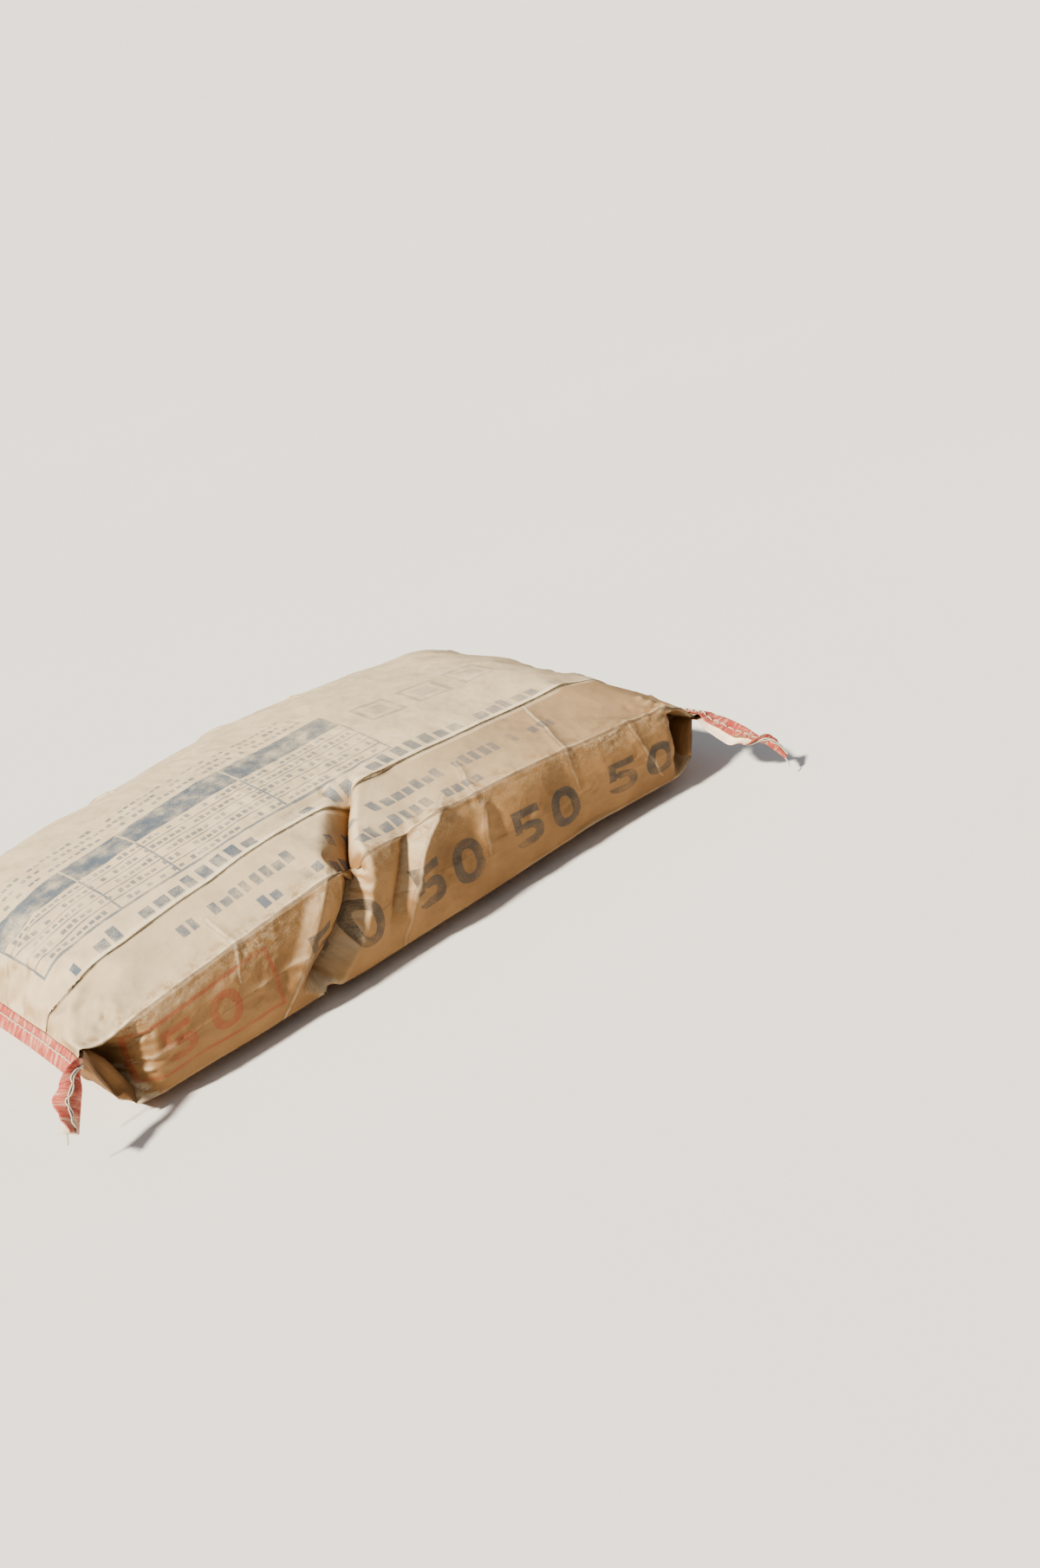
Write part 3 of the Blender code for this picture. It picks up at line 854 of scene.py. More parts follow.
def tape_frames(end):
    """Frames along a tape: centre of the closed edge, inward, normal, half the gap inside, length run."""
    droop = LIP_DROOP[end]
    inward = Vector((-ENDS[end] * math.cos(droop), 0.0, math.sin(droop)))
    normal = Vector((ENDS[end] * math.sin(droop), 0.0, math.cos(droop)))
    lip_gap = LIP_THICKNESS / 2 + CLEARANCE
    across = np.linspace(HALF_WIDTH + FAR_OVERHANG, -HALF_WIDTH, TAPE_STEPS + 1)
    centres = [Vector(point) for point in lip_edge(end, across)]
    frames = [(centre, inward, normal, lip_gap) for centre in centres]
    start = Vector((0.0, -1.0, 0.0))
    finish = Vector(TAIL_DIRECTION[end]).normalized()
    steps = round(TAIL_LENGTH[end] / (across[0] - across[1]))
    piece = TAIL_LENGTH[end] / steps
    centre = centres[-1]
    for step in range(steps):
        run = (step + 1) * piece
        heading = start.slerp(finish, float(smooth(0.0, TAIL_TURN[end], run - piece / 2)))
        centre = centre + heading * piece
        beside = (inward - heading * inward.dot(heading)).normalized()
        upward = (heading.cross(beside) * -ENDS[end]).normalized()
        gap = lip_gap + (TAIL_GAP / 2 - lip_gap) * float(smooth(0.0, TAIL_CLOSING, run))
        frames.append((centre, beside, upward, gap))
    centres, inwards, normals, gaps = (np.array([frame[k] for frame in frames], float) for k in range(4))
    run = np.concatenate([[0.0], np.cumsum(np.linalg.norm(np.diff(centres, axis=0), axis=1))])
    return centres, inwards, normals, gaps, run


def tape_places(end, strip, size):
    """Places on the inner side of a folded tape for places across its flat strip, and the flat places."""
    centres, inwards, normals, gaps, run = tape_frames(end)
    flat = np.stack(np.broadcast_arrays(run[:, None], strip), axis=-1)
    tail = TAILS[end]
    share = ((run - run[TAPE_STEPS]) / (run[-1] - run[TAPE_STEPS]))[:, None]
    gap = gaps[:, None]
    ragged = 1.0 + RAGGED[0] * swell(flat * (1.0, 0.0) + (0.0, 0.5) * np.sign(flat), RAGGED[1], seed=31)
    width = keyed(share, tail.width)
    place = strip * width * ragged - keyed(share, tail.shift)
    nose = math.pi / 2 * gap
    leaf = np.abs(place) - nose
    side = np.sign(place)
    opening = np.radians(keyed(share, tail.opening))
    turn = np.clip(place / gap, -math.pi / 2, math.pi / 2)
    along_leaf = np.maximum(leaf, 0.0)

    from_fold = smooth(*WRINKLE_START, leaf)
    waves = 0.5 + 0.5 * swell(flat * (1.0, 0.0), FLARE_SPACING, seed=33)
    flare = size.edge_flare * smooth(*FLARE_START, leaf) * waves
    apart = 0.1 * side[..., None]
    wrinkles = size.wrinkle_height * np.maximum(
        swell(flat * (1.0, 0.45) + apart, WRINKLE_SPACING, seed=35), 0.0)
    crinkles = size.crinkle_height * np.maximum(
        swell(flat * (1.0, 0.25) + apart, CRINKLE_SPACING, seed=37), 0.0)
    stitch = 0.5 - 0.5 * np.cos(2 * math.pi * flat[..., 0] / size.stitch_length)
    pucker = size.pucker_height * stitch * hill(leaf, STITCH_INSET, PUCKER_REACH)
    lift = from_fold * (wrinkles + crinkles + pucker) + np.maximum(flare, 0.0)

    inset = -gap * np.cos(turn) + along_leaf * np.cos(opening)
    inset = inset - CLEARANCE * (1.0 - smooth(0.0, 0.004, inset))
    height = gap * np.sin(turn) + side * (along_leaf * np.sin(opening) + lift)
    bend = np.maximum(np.radians(keyed(share, tail.roll)) / (TAPE_STRIP / 2 * width), 0.01)
    rolled = (1.0 / bend - height) * np.sin(bend * inset)
    raised = 1.0 / bend - (1.0 / bend - height) * np.cos(bend * inset)
    twist = np.radians(keyed(share, tail.twist))
    beside = inwards * np.cos(twist) + normals * np.sin(twist)
    upward = normals * np.cos(twist) - inwards * np.sin(twist)
    return centres[:, None] + beside[:, None] * rolled[..., None] + upward[:, None] * raised[..., None], flat


def build_tape(end, size):
    """One closing tape: a crepe strip folded over the lip, with its tail."""
    strip = np.linspace(-TAPE_STRIP / 2, TAPE_STRIP / 2, TAPE_CELLS + 1)
    return build_sheet(f"crepe_tape_{end}", *tape_places(end, strip, size), turned=end == "right")


def seam_line(end, side, size):
    """The line of the stitches on one leaf: points, outward normals, sideways, and the length run."""
    nose = math.pi / 2 * (LIP_THICKNESS / 2 + CLEARANCE)
    strip = side * (nose + STITCH_INSET) + np.array((-SEAM_BESIDE, 0.0, SEAM_BESIDE))
    places, flat = tape_places(end, strip, size)
    run = flat[:, 1, 0]
    fine = np.arange(0.0, run[-1], size.stitch_length / STITCH_POINTS)
    low, middle, high = (
        np.stack([np.interp(fine, run, places[:, k, axis]) for axis in range(3)], axis=-1) for k in range(3))
    sideways = (high - low) / np.linalg.norm(high - low, axis=1, keepdims=True)
    ahead = np.gradient(middle, axis=0)
    normal = np.cross(ahead, sideways)
    normal /= np.linalg.norm(normal, axis=1, keepdims=True)
    outward = Vector((ENDS[end] * math.sin(LIP_DROOP[end]), 0.0, math.cos(LIP_DROOP[end]))) * side
    if np.dot(normal[0], outward) < 0:
        normal = -normal
    return middle, normal, sideways, fine


def add_strand(curve, route):
    """Adds one strand of thread to a curve."""
    spline = curve.splines.new("POLY")
    spline.points.add(len(route) - 1)
    for place, point in zip(spline.points, route):
        place.co = (*point, 1.0)


def build_thread(end, size):
    """The seam of one tape: needle thread above, a looper chain below, and a loose end at the tail."""
    curve = bpy.data.curves.new(f"sewn_thread_{end}", "CURVE")
    curve.dimensions = "3D"
    curve.bevel_resolution = 2
    curve.use_fill_caps = True
    radius = size.thread_diameter / 2
    curve.bevel_depth = radius

    middle, normal, _, run = seam_line(end, 1.0, size)
    from_hole = (run / size.stitch_length + 0.5) % 1.0 - 0.5
    dip = hill(from_hole * size.stitch_length, 0.0, HOLE_REACH)
    needle = middle + normal * (size.tape_thickness + radius * (1.15 - 2.5 * dip))[:, None]
    heading = (needle[-1] - needle[-4]) / np.linalg.norm(needle[-1] - needle[-4])
    loose = []
    point = needle[-1]
    for step in range(LOOSE_POINTS):
        sag = (step + 1) / LOOSE_POINTS
        ahead = heading * (1.0 - 0.7 * sag) + np.array((0.3 * math.sin(4 * sag), 0.0, -0.7 * sag))
        point = point + ahead * LOOSE_END / LOOSE_POINTS
        loose.append(point)
    add_strand(curve, np.concatenate([needle, loose]))

    middle, normal, sideways, run = seam_line(end, -1.0, size)
    wave = np.abs(np.sin(math.pi * run / size.stitch_length)) ** 0.7
    lift = size.tape_thickness + radius * (1.0 + 0.35 * (1.0 - wave))
    apart = CHAIN_WIDTH * wave + 0.0002
    for way in (-1.0, 1.0):
        add_strand(curve, middle + normal * lift[:, None] + sideways * (way * apart)[:, None])
    if end == "left":
        add_strand(curve, curve_through(HANGING_STRAND))
    return curve


def made_by(operation, turned=False):
    """An operator on shades that adds a Math node, with its values turned round for a reflected form."""
    def operator(shade, *others):
        values = (*others, shade) if turned else (shade, *others)
        return shade.nodes.math(operation, *values)
    return operator


class Shade:
    """A value that varies over a surface. Python's operators on it add Math nodes."""

    def __init__(self, nodes, socket):
        self.nodes = nodes
        self.socket = socket

    __add__ = __radd__ = made_by("ADD")
    __sub__ = made_by("SUBTRACT")
    __rsub__ = made_by("SUBTRACT", turned=True)
    __mul__ = __rmul__ = made_by("MULTIPLY")
    __truediv__ = made_by("DIVIDE")
    __rtruediv__ = made_by("DIVIDE", turned=True)
    __pow__ = made_by("POWER")
    __rpow__ = made_by("POWER", turned=True)
    __mod__ = made_by("FLOORED_MODULO")
    __rmod__ = made_by("FLOORED_MODULO", turned=True)
    __abs__ = made_by("ABSOLUTE")
    most = made_by("MAXIMUM")
    least = made_by("MINIMUM")

    def __neg__(self):
        return self * -1.0

    def math(self, operation, *others):
        return self.nodes.math(operation, self, *others)

    def output(self, index):
        """Another output of the same node."""
        return Shade(self.nodes, self.socket.node.outputs[index])

    def step(self, low, high):
        """0 below low, 1 above high and smooth between, or the other way round where low is the higher."""
        turned = float(low > high)
        return self.nodes.node(
            "MapRange", {"interpolation_type": "SMOOTHSTEP"},
            {0: self, 1: min(low, high), 2: max(low, high), 3: turned, 4: 1.0 - turned})


class Nodes:
    """A tree of shader nodes, each added by one method."""

    def __init__(self, tree):
        self.tree = tree

    def node(self, kind, settings=None, sockets=None, output=0):
        """Adds a node: its settings first, then the values or links of its sockets."""
        node = self.tree.nodes.new(f"ShaderNode{kind}")
        for key, value in (settings or {}).items():
            setattr(node, key, value)
        for key, value in (sockets or {}).items():
            self.feed(node.inputs[key], value)
        return Shade(self, node.outputs[output])

    def feed(self, socket, value):
        """Links a shade to a socket, or sets a plain value on it. A colour is fully opaque."""
        if isinstance(value, Shade):
            self.tree.links.new(value.socket, socket)
        elif socket.type == "RGBA":
            socket.default_value = (*value, 1.0)
        else:
            socket.default_value = value

    def math(self, operation, *values):
        return self.node("Math", {"operation": operation}, dict(enumerate(values)))


class Finish(Nodes):
    """A material of shader nodes."""

    def __init__(self, name):
        self.material = bpy.data.materials.new(name)
        self.material.use_nodes = True
        super().__init__(self.material.node_tree)

    def parts(self, place):
        """The three parts of a place."""
        first = self.node("SeparateXYZ", {}, {0: place})
        return first, first.output(1), first.output(2)

    def mark(self, name):
        """A value that is stored on the mesh."""
        return self.node("Attribute", {"attribute_name": name}, {}, 2)

    def vector(self, operation, first, second):
        """A Vector Math node on two vectors, or for a scale on a vector and a number."""
        other = 3 if operation == "SCALE" else 1
        result = 1 if operation in ("DISTANCE", "DOT_PRODUCT") else 0
        return self.node("VectorMath", {"operation": operation}, {0: first, other: second}, result)

    def blend(self, share, first, second, mode="MIX"):
        """Mixes two colours."""
        return self.node("Mix", {"data_type": "RGBA", "blend_type": mode}, {0: share, 6: first, 7: second}, 2)

    def noise(self, place, scale, detail=2.0, roughness=0.5, stretch=None):
        """Noise from 0 to 1 over a place in metres, its scale in waves a metre."""
        if stretch:
            place = self.vector("MULTIPLY", place, stretch)
        sockets = {"Vector": place, "Scale": scale, "Detail": detail, "Roughness": roughness}
        return self.node("TexNoise", {}, sockets)

    def facets(self, place, scale):
        """Heights of a surface crumpled into random facets, its scale in facets a metre."""
        return self.node("TexVoronoi", {"feature": "F1"}, {"Vector": place, "Scale": scale})

    def dice(self, seed):
        """A random value from 0 to 1 for each whole seed."""
        return self.node("TexWhiteNoise", {"noise_dimensions": "1D"}, {"W": seed})

    def warped(self, place, scale, amount):
        """The place pushed about by noise."""
        push = self.vector("SUBTRACT", self.noise(place, scale).output(1), (0.5, 0.5, 0.5))
        return self.vector("ADD", place, self.vector("SCALE", push, amount))

    def from_segment(self, place, start, end):
        """Distance of a place from a straight segment of the flat paper."""
        (x, y), (dx, dy) = start, (end[0] - start[0], end[1] - start[1])
        span = dx * dx + dy * dy
        offset = self.vector("SUBTRACT", place, (x, y, 0.0))
        share = self.vector("DOT_PRODUCT", offset, (dx / span, dy / span, 0.0))
        share = share.most(0.0).least(1.0)
        return self.vector("DISTANCE", offset, self.vector("SCALE", (dx, dy, 0.0), share))

    def finished(self, base, roughness, *bumps):
        """Feeds the shader. Each bump is (height, strength, distance), the coarsest first."""
        normal = {}
        for height, strength, distance in bumps:
            sockets = {"Height": height, "Strength": strength, "Distance": distance, **normal}
            normal = {"Normal": self.node("Bump", {}, sockets)}
        shader = self.tree.nodes["Principled BSDF"]
        for name, value in {"Base Color": base, "Roughness": roughness, **normal}.items():
            self.feed(shader.inputs[name], value)
        return self.material


def colour(*values):
    """A shader colour from the 0 to 255 values that a colour picker shows."""
    shares = [value / 255 for value in values]
    return tuple(share / 12.92 if share <= 0.04045 else ((share + 0.055) / 1.055) ** 2.4 for share in shares)


def box(along, girth, left, right, low, high):
    """A printed rectangle's ink, from 0 to 1."""
    return (along.step(left, left + INK_EDGE) * along.step(right, right - INK_EDGE)
            * girth.step(low, low + INK_EDGE) * girth.step(high, high - INK_EDGE))


def word_rows(paint, along, girth, words):
    """Rows of plain blocks, in groups like words, with nothing to read in them."""
    left, right, low, height, pitch, seed, strength, spacing, count = words
    row = ((girth - low) / spacing).math("FLOOR")
    up = girth - low - row * spacing
    cell = (along / pitch).math("FLOOR")
    inside = along - cell * pitch
    dice = paint.dice(cell + row * 170.0 + seed)
    group = paint.dice(cell + row * 290.0 + seed * 3.7)
    tall = height * (0.74 + 0.26 * group.step(0.5, 0.51))
    right_side = pitch * (0.97 - 0.30 * dice * group)
    block = inside.step(0.10 * pitch, 0.10 * pitch + 0.0007) * (right_side - inside).step(0.0, 0.0007)
    block = block * up.step(0.0, 0.0008) * (tall - up).step(0.0, 0.0008) * dice.step(0.16, 0.17)
    head = low + spacing * (count - 1) + height
    return strength * (block * box(along, girth, left, right, low - 0.001, head + 0.002))


def ring(along, girth, middle, centre, half_width, half_height, stroke):
    """A rounded band: a 0, or the bowl of a 5."""
    across, up = abs(along - middle), abs(girth - centre)
    outer = ((across / half_width) ** 2.4 + (up / half_height) ** 2.4).step(1.04, 0.98)
    inner = ((across / (half_width - stroke)) ** 2.4 + (up / (half_height - stroke)) ** 2.4).step(0.98, 1.04)
    return outer * inner


def fifty(along, girth, place):
    """A plain bold 50."""
    left, _, low, width, height, stroke = place
    middle = left + width / 2
    bowl = ring(along, girth, middle, low + 0.33 * height, width / 2, 0.33 * height, stroke)
    gap = along.step(middle - 0.1 * width, middle - 0.12 * width)
    gap = gap * girth.step(low + 0.20 * height, low + 0.22 * height)
    ink = bowl * (1.0 - gap)
    stem, waist, head = left + 0.02 * width, low + 0.48 * height, low + height
    for bar in (
            (stem, stem + stroke, low + 0.42 * height, head),
            (stem, left + 0.95 * width, head - stroke, head),
            (stem, middle, waist, waist + 0.8 * stroke)):
        ink = ink.most(box(along, girth, *bar))
    nought = ring(
        along, girth, place.nought + width / 2, low + height / 2, width / 2, height / 2, stroke)
    return ink.most(nought)


def blue_print(paint, along, girth):
    """The faded blue-grey print: a ruled table with its header, plain rows of blocks, and squares.

    Each ink joins the others at once, because a shader holds only a few values at a time.
    """
    left, right, low, high = TABLE
    rim, foot = TABLE_FRAME
    dividers = 0.0
    for stand in TABLE_DIVIDERS:
        dividers = abs(along - stand).step(0.0014, 0.0008) + dividers
    across = (girth - (low + rim)) % TABLE_ROW
    body = box(along, girth, *TABLE)
    edge = body - box(along, girth, left + rim, right - rim, low + foot, high)
    rules = body * across.step(0.0020, 0.0013)
    ink = 0.9 * (rules + edge + body * dividers).least(1.0)
    ink = ink.most(box(along, girth, *TABLE_HEADER) * (1.0 - 0.7 * dividers))
    for words in TABLE_WORDS:
        ink = ink.most(word_rows(paint, along, girth, words))

    start, stop = SQUARES
    marks = (along - start) % SQUARE_PITCH
    reach = abs(marks - SQUARE_PITCH / 2).most(abs(girth - SQUARE_GIRTH))
    square = 0.6 * reach.step(0.022, 0.0214) * reach.step(0.0165, 0.0171) + 0.45 * reach.step(0.011, 0.0104)
    square = square * along.step(start + 0.001, start + 0.002)
    ink = ink.most(square * along.step(stop - 0.001, stop - 0.002))
    by_seam = girth - SEAM_SLANT * along
    ink = ink.most(word_rows(paint, along, by_seam, SEAM_WORDS))
    for words in STRIP_WORDS:
        ink = ink.most(word_rows(paint, along, girth, words))
    return ink


def side_print(along, girth):
    """A plain bold 50 again and again along a gusset."""
    left, right = SIDE_REACH
    ink = fifty((along - SIDE_START) % SIDE_PITCH, girth, SIDE_FIFTY)
    return ink * along.step(left, left + 0.002) * along.step(right, right - 0.002)


def red_print(along, girth):
    """A red outlined box on a gusset, with a plain 50 in it."""
    left, right, low, high = RED_BOX
    outer = box(along, girth, *RED_BOX)
    inner = box(along, girth, left + RED_STROKE, right - RED_STROKE, low + RED_STROKE, high - RED_STROKE)
    return (outer - inner).most(fifty(along, girth, BOXED_FIFTY))


def kraft_finish(look):
    """Kraft paper: fibres, mottling, cement dust, scuffed creases and worn print, with painted highlights and
    painted shade along its edges and folds.
    """
    paint = Finish("kraft_paper")
    place = paint.node("UVMap", {"uv_map": "paper"})
    along, girth, _ = paint.parts(place)
    dust, ridge, hollow_grime_and_shade = (paint.mark(name) for name in ("dust", "ridge", "hollow_grime_and_shade"))

    grain = paint.noise(place, 800.0, 3.0, 0.6)
    fibres = paint.noise(place, 1.0, 3.0, 0.6, (110.0, 650.0, 1.0))
    mottle = paint.noise(place, 38.0, 6.0, 0.62)
    stains = paint.noise(place, 8.0, 4.0, 0.55)
    patches = paint.noise(place, 7.0, 2.0).step(0.45, 0.62)
    smudge = paint.noise(place, 19.0, 5.0, 0.68).step(0.54, 0.78)
    specks = paint.noise(place, 430.0, 1.0, 0.5).step(0.66, 0.76) * patches
    rubbed = paint.noise(place, 80.0, 4.0, 0.7).step(0.48, 0.62)
    rubbed = rubbed * abs(abs(girth) - HALF_WIDTH).step(0.020, 0.002)
    broad_facets = paint.facets(paint.warped(place, 16.0, 0.030), 24.0)
    small_facets = paint.facets(paint.warped(place, 60.0, 0.008), 90.0)
    spots = paint.noise(place, 1.0, 3.0, 0.6, (60.0, 12.0, 1.0)).step(0.44, 0.66)
    seam = SEAM_GIRTH + SEAM_SLANT * along

    tone = 0.80 + 0.22 * grain + 0.20 * (fibres - 0.5) + 0.34 * (mottle - 0.5) + 0.36 * (stains - 0.5)
    paper = paint.blend(stains.step(0.35, 0.7), look.kraft, look.kraft_dark)
    shade = paint.node("CombineColor", {}, {0: tone, 1: tone, 2: tone})
    paper = paint.blend(1.0, paper, shade, "MULTIPLY")

    # Scuffed ridges, and the dust on the panels and the gussets' upper part. The pale lines along the lips of
    # the seams are dust with a painted highlight.
    scuff = (ridge * (0.5 + mottle)).least(1.0)
    wavy = paint.warped(place, 55.0, 0.006)
    nearest = 1.0
    for fold in SCUFFED:
        route = [(x / 1000, y / 1000) for x, y in fold.route]
        for start, end in zip(route, route[1:]):
            nearest = paint.from_segment(wavy, start, end).least(nearest)
    scuff = scuff + nearest.step(0.0022, 0.0004) * (0.3 + patches) * 0.9
    down = abs(girth) - HALF_WIDTH
    # lip: painted highlight with some dust, a pale line just above each panel crease and along the edge of
    # the seam's flap
    lip = 0.5 * abs(down + 0.0018).step(0.0016, 0.0004) * mottle.step(0.42, 0.60)
    lip = lip + abs(girth - seam - 0.0012).step(0.0012, 0.0004) * mottle.step(0.45, 0.65)
    speckle = (0.6 * paint.noise(place, 150.0, 4.0, 0.72) + 0.4 * grain).step(0.45, 0.60)
    drift = down.step(0.0, 0.0006) * down.step(0.036, 0.002) * speckle * (0.30 + 0.70 * patches)
    powder = dust * look.dust_cover * (0.70 + 0.75 * (mottle - 0.3)) * (1.0 - 0.62 * rubbed)
    bare = 0.20 + 0.50 * along.step(-0.04, 0.26) + 0.30 * (mottle - 0.5)
    powder = powder * (1.0 - bare * (seam - girth).step(-0.0004, 0.0004))
    powder = powder * (1.0 - 0.30 * along.step(0.24, 0.33))
    # powder holds the dust, the scuffs and the painted highlight lines
    powder = (powder + 0.26 * scuff + 0.40 * lip + 0.40 * drift).least(1.0)
    paper = paint.blend(powder, paper, look.dust)

    worn = (mottle * 0.6 + grain * 0.4).step(look.ink_wear, look.ink_wear - 0.30) * (1.0 - 0.8 * ridge)
    bleached = 1.0 - 0.45 * along.step(-0.10, 0.26)
    blue = blue_print(paint, along, girth) * worn * bleached
    paper = paint.blend(0.84 * blue, paper, look.blue_ink)
    for share, drawn, ink in ((0.74, side_print, look.dark_ink), (0.60, red_print, look.red_ink)):
        both_sides = drawn(along, girth).most(drawn(-along, -girth))
        paper = paint.blend(share * (both_sides * worn), paper, ink)

    # Darkening: soiling along the creases, soiling with painted shade in the inward bends, a glue stain with
    # painted shadow under the seam's flap, painted shade beside the scuffed ridges, and smudges
    crack = abs(down).step(0.0017, 0.0006) * (0.80 + spots)
    fold = abs(abs(girth) - (HALF_WIDTH + GUSSET_GIRTH / 2)).step(0.0012, 0.0002) * (0.15 + 0.5 * spots)
    # glue stain and painted shadow: a darker band just under the edge of the seam's flap
    glue_and_flap_shadow = abs(girth - seam + 0.0007).step(0.0016, 0.0006) * (0.45 + 0.9 * spots)
    smudges_and_ridge_shade = smudge * (0.20 + 0.35 * abs(along).step(0.22, 0.34)) + 0.5 * specks
    # painted shade: a darker band beside each scuffed ridge line, added to the smudges and specks
    smudges_and_ridge_shade = smudges_and_ridge_shade + 0.30 * nearest.step(0.0016, 0.0024) * nearest.step(0.0036, 0.0026)
    # the inward bends are darkened by soiling and painted shade
    grime_and_shade = (hollow_grime_and_shade * (0.55 + 0.7 * mottle) + crack + fold + glue_and_flap_shadow + smudges_and_ridge_shade).least(1.0)
    paper = paint.blend(0.58 * grime_and_shade, paper, look.grime_and_shade)

    roughness = 0.80 + 0.12 * powder - 0.06 * blue
    rough = 0.5 * grain + 0.5 * fibres
    folds = (1.4 * broad_facets + 0.45 * small_facets * (0.4 + patches) + 0.5 * mottle) * (1.5 - 0.7 * dust)
    return paint.finished(paper, roughness, (folds, 0.6, 0.0024), (rough, 0.35, 0.0003))


def crepe_finish(look, size, name, inner):
    """Crepe tape: fine crosswise crinkles, faded and dusty outside, paler on its glued inner side. Painted
    shade darkens its crinkles and its stitch holes.
    """
    paint = Finish(name)
    place = paint.node("UVMap", {"uv_map": "paper"})
    run, strip, _ = paint.parts(place)
    crinkle = paint.noise(place, 1.0, 2.0, 0.55, (950.0, 130.0, 1.0))
    ripple = paint.noise(place, 1.0, 2.0, 0.5, (240.0, 50.0, 1.0))
    fade = paint.noise(place, 34.0, 4.0, 0.6)
    grain = paint.noise(place, 1400.0, 2.0)
    if inner:
        paper = paint.blend(fade.step(0.35, 0.7), look.tape_inside, look.dust)
    else:
        paper = paint.blend(fade.step(0.30, 0.70), look.tape, look.tape_faded)
        # painted shade: the tape is darker deep in its crinkles
        paper = paint.blend(0.5 * crinkle.step(0.62, 0.36), paper, look.tape_crinkle_shade)
        powder = ripple.step(0.46, 0.70) * 0.34 + 0.22 * fade.step(0.5, 0.75) + 0.22 * grain.step(0.55, 0.8)
        paper = paint.blend(powder.least(1.0), paper, look.dust)
        # painted shade: a dark spot at each stitch hole
        row = abs(strip) - (STITCH_INSET + math.pi / 2 * (LIP_THICKNESS / 2 + CLEARANCE))
        hole = ((run / size.stitch_length + 0.5) % 1.0 - 0.5) * size.stitch_length
        stitch_hole_shade = (hole ** 2 + row * row).math("SQRT").step(0.0016, 0.0006)
        paper = paint.blend(0.8 * stitch_hole_shade, paper, look.grime_and_shade)
    height = 0.6 * crinkle + 0.8 * ripple
    return paint.finished(paper, 0.86, (height, 0.7, 0.0012), (grain, 0.25, 0.0002))


def thread_finish(look):
    """Twisted off-white thread, dusty and a little fuzzy."""
    paint = Finish("twisted_thread")
    place = paint.node("TexCoord", {}, {}, 3)
    _, across, up = paint.parts(place)
    twist = ((across * 5200.0 + up * 3600.0).math("SINE") + 1.0) / 2
    fuzz = paint.noise(place, 900.0, 3.0, 0.6)
    shade = paint.blend(0.45 * twist + 0.4 * fuzz, look.thread, look.thread_shade)
    return paint.finished(shade, 0.85, (twist + 0.5 * fuzz, 0.8, 0.0004))


def floor_finish():
    """A plain pale floor with the faintest unevenness."""
    paint = Finish("studio_floor")
    cloud = paint.noise(paint.node("TexCoord", {}, {}, 3), 1.5, 3.0)
    return paint.finished(paint.blend(cloud, colour(233, 231, 226), colour(238, 236, 232)), 0.9)


def add_piece(name, data, node):
    """Adds a piece that rides with the sack and stands for a node."""
    piece = add_object(name, data)
    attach(piece, "root")
    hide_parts(node)
    return piece


def lay_floor():
    """Lays a wide pale floor under the sack."""
    bm = bmesh.new()
    bmesh.ops.create_grid(bm, x_segments=1, y_segments=1, size=FLOOR_REACH)
    mesh = bpy.data.meshes.new("studio_floor")
    bm.to_mesh(mesh)
    bm.free()
    mesh.materials.append(floor_finish())
    add_object("studio_floor", mesh)


def light_sky(scene):
    """Lights the scene by an even sky, before which the camera sees a paler backdrop."""
    world = bpy.data.worlds.new("studio")
    scene.world = world
    world.use_nodes = True
    tree = world.node_tree
    studio = Nodes(tree)
    sky = tree.nodes["Background"]
    studio.feed(sky.inputs["Color"], SKY_COLOUR)
    studio.feed(sky.inputs["Strength"], SKY_STRENGTH)
    seen = studio.node("Background", {}, {"Color": HORIZON_COLOUR, "Strength": 1.0})
    by_camera = studio.node("LightPath")
    either = studio.node("MixShader", {}, {0: by_camera, 1: Shade(studio, sky.outputs[0]), 2: seen})
    studio.feed(tree.nodes["World Output"].inputs["Surface"], either)


def hang_key():
    """Hangs one soft sun on the photograph's side."""
    lamp = bpy.data.lights.new("key", "SUN")
    lamp.energy = KEY_STRENGTH
    lamp.angle = KEY_SOFTNESS
    lamp.color = KEY_COLOUR
    key = add_object("key", lamp)
    key.rotation_mode = "QUATERNION"
    key.rotation_quaternion = Vector(KEY_DIRECTION).to_track_quat("Z", "Y")


def set_camera(scene):
    """Sets the camera at the photograph's angle."""
    camera = bpy.data.cameras.new("camera")
    camera.lens = LENS
    camera.sensor_width = FILM
    holder = add_object("camera", camera)
    back = Vector(CAMERA_BACK).normalized()
    right = Vector(CAMERA_UP).cross(back).normalized()
    turn = Matrix((right, back.cross(right), back)).transposed().to_4x4()
    holder.matrix_world = Matrix.Translation(CAMERA_PLACE) @ turn
    scene.camera = holder


def colour_choice(name, description, *values):
    """A colour that a user may change, its values as a colour picker shows them."""
    return bpy.props.FloatVectorProperty(
        name=name, description=description, subtype="COLOR", size=3, min=0.0, max=1.0,
        default=colour(*values))


def length_choice(name, description, default):
    """A length in metres that a user may change."""
    return bpy.props.FloatProperty(
        name=name, description=description, subtype="DISTANCE", unit="LENGTH", precision=4, min=0.0,
        default=default)


def share_choice(name, description, default, **limits):
    """A share that a user may change."""
    return bpy.props.FloatProperty(
        name=name, description=description, subtype="FACTOR", min=0.0, default=default, **limits)


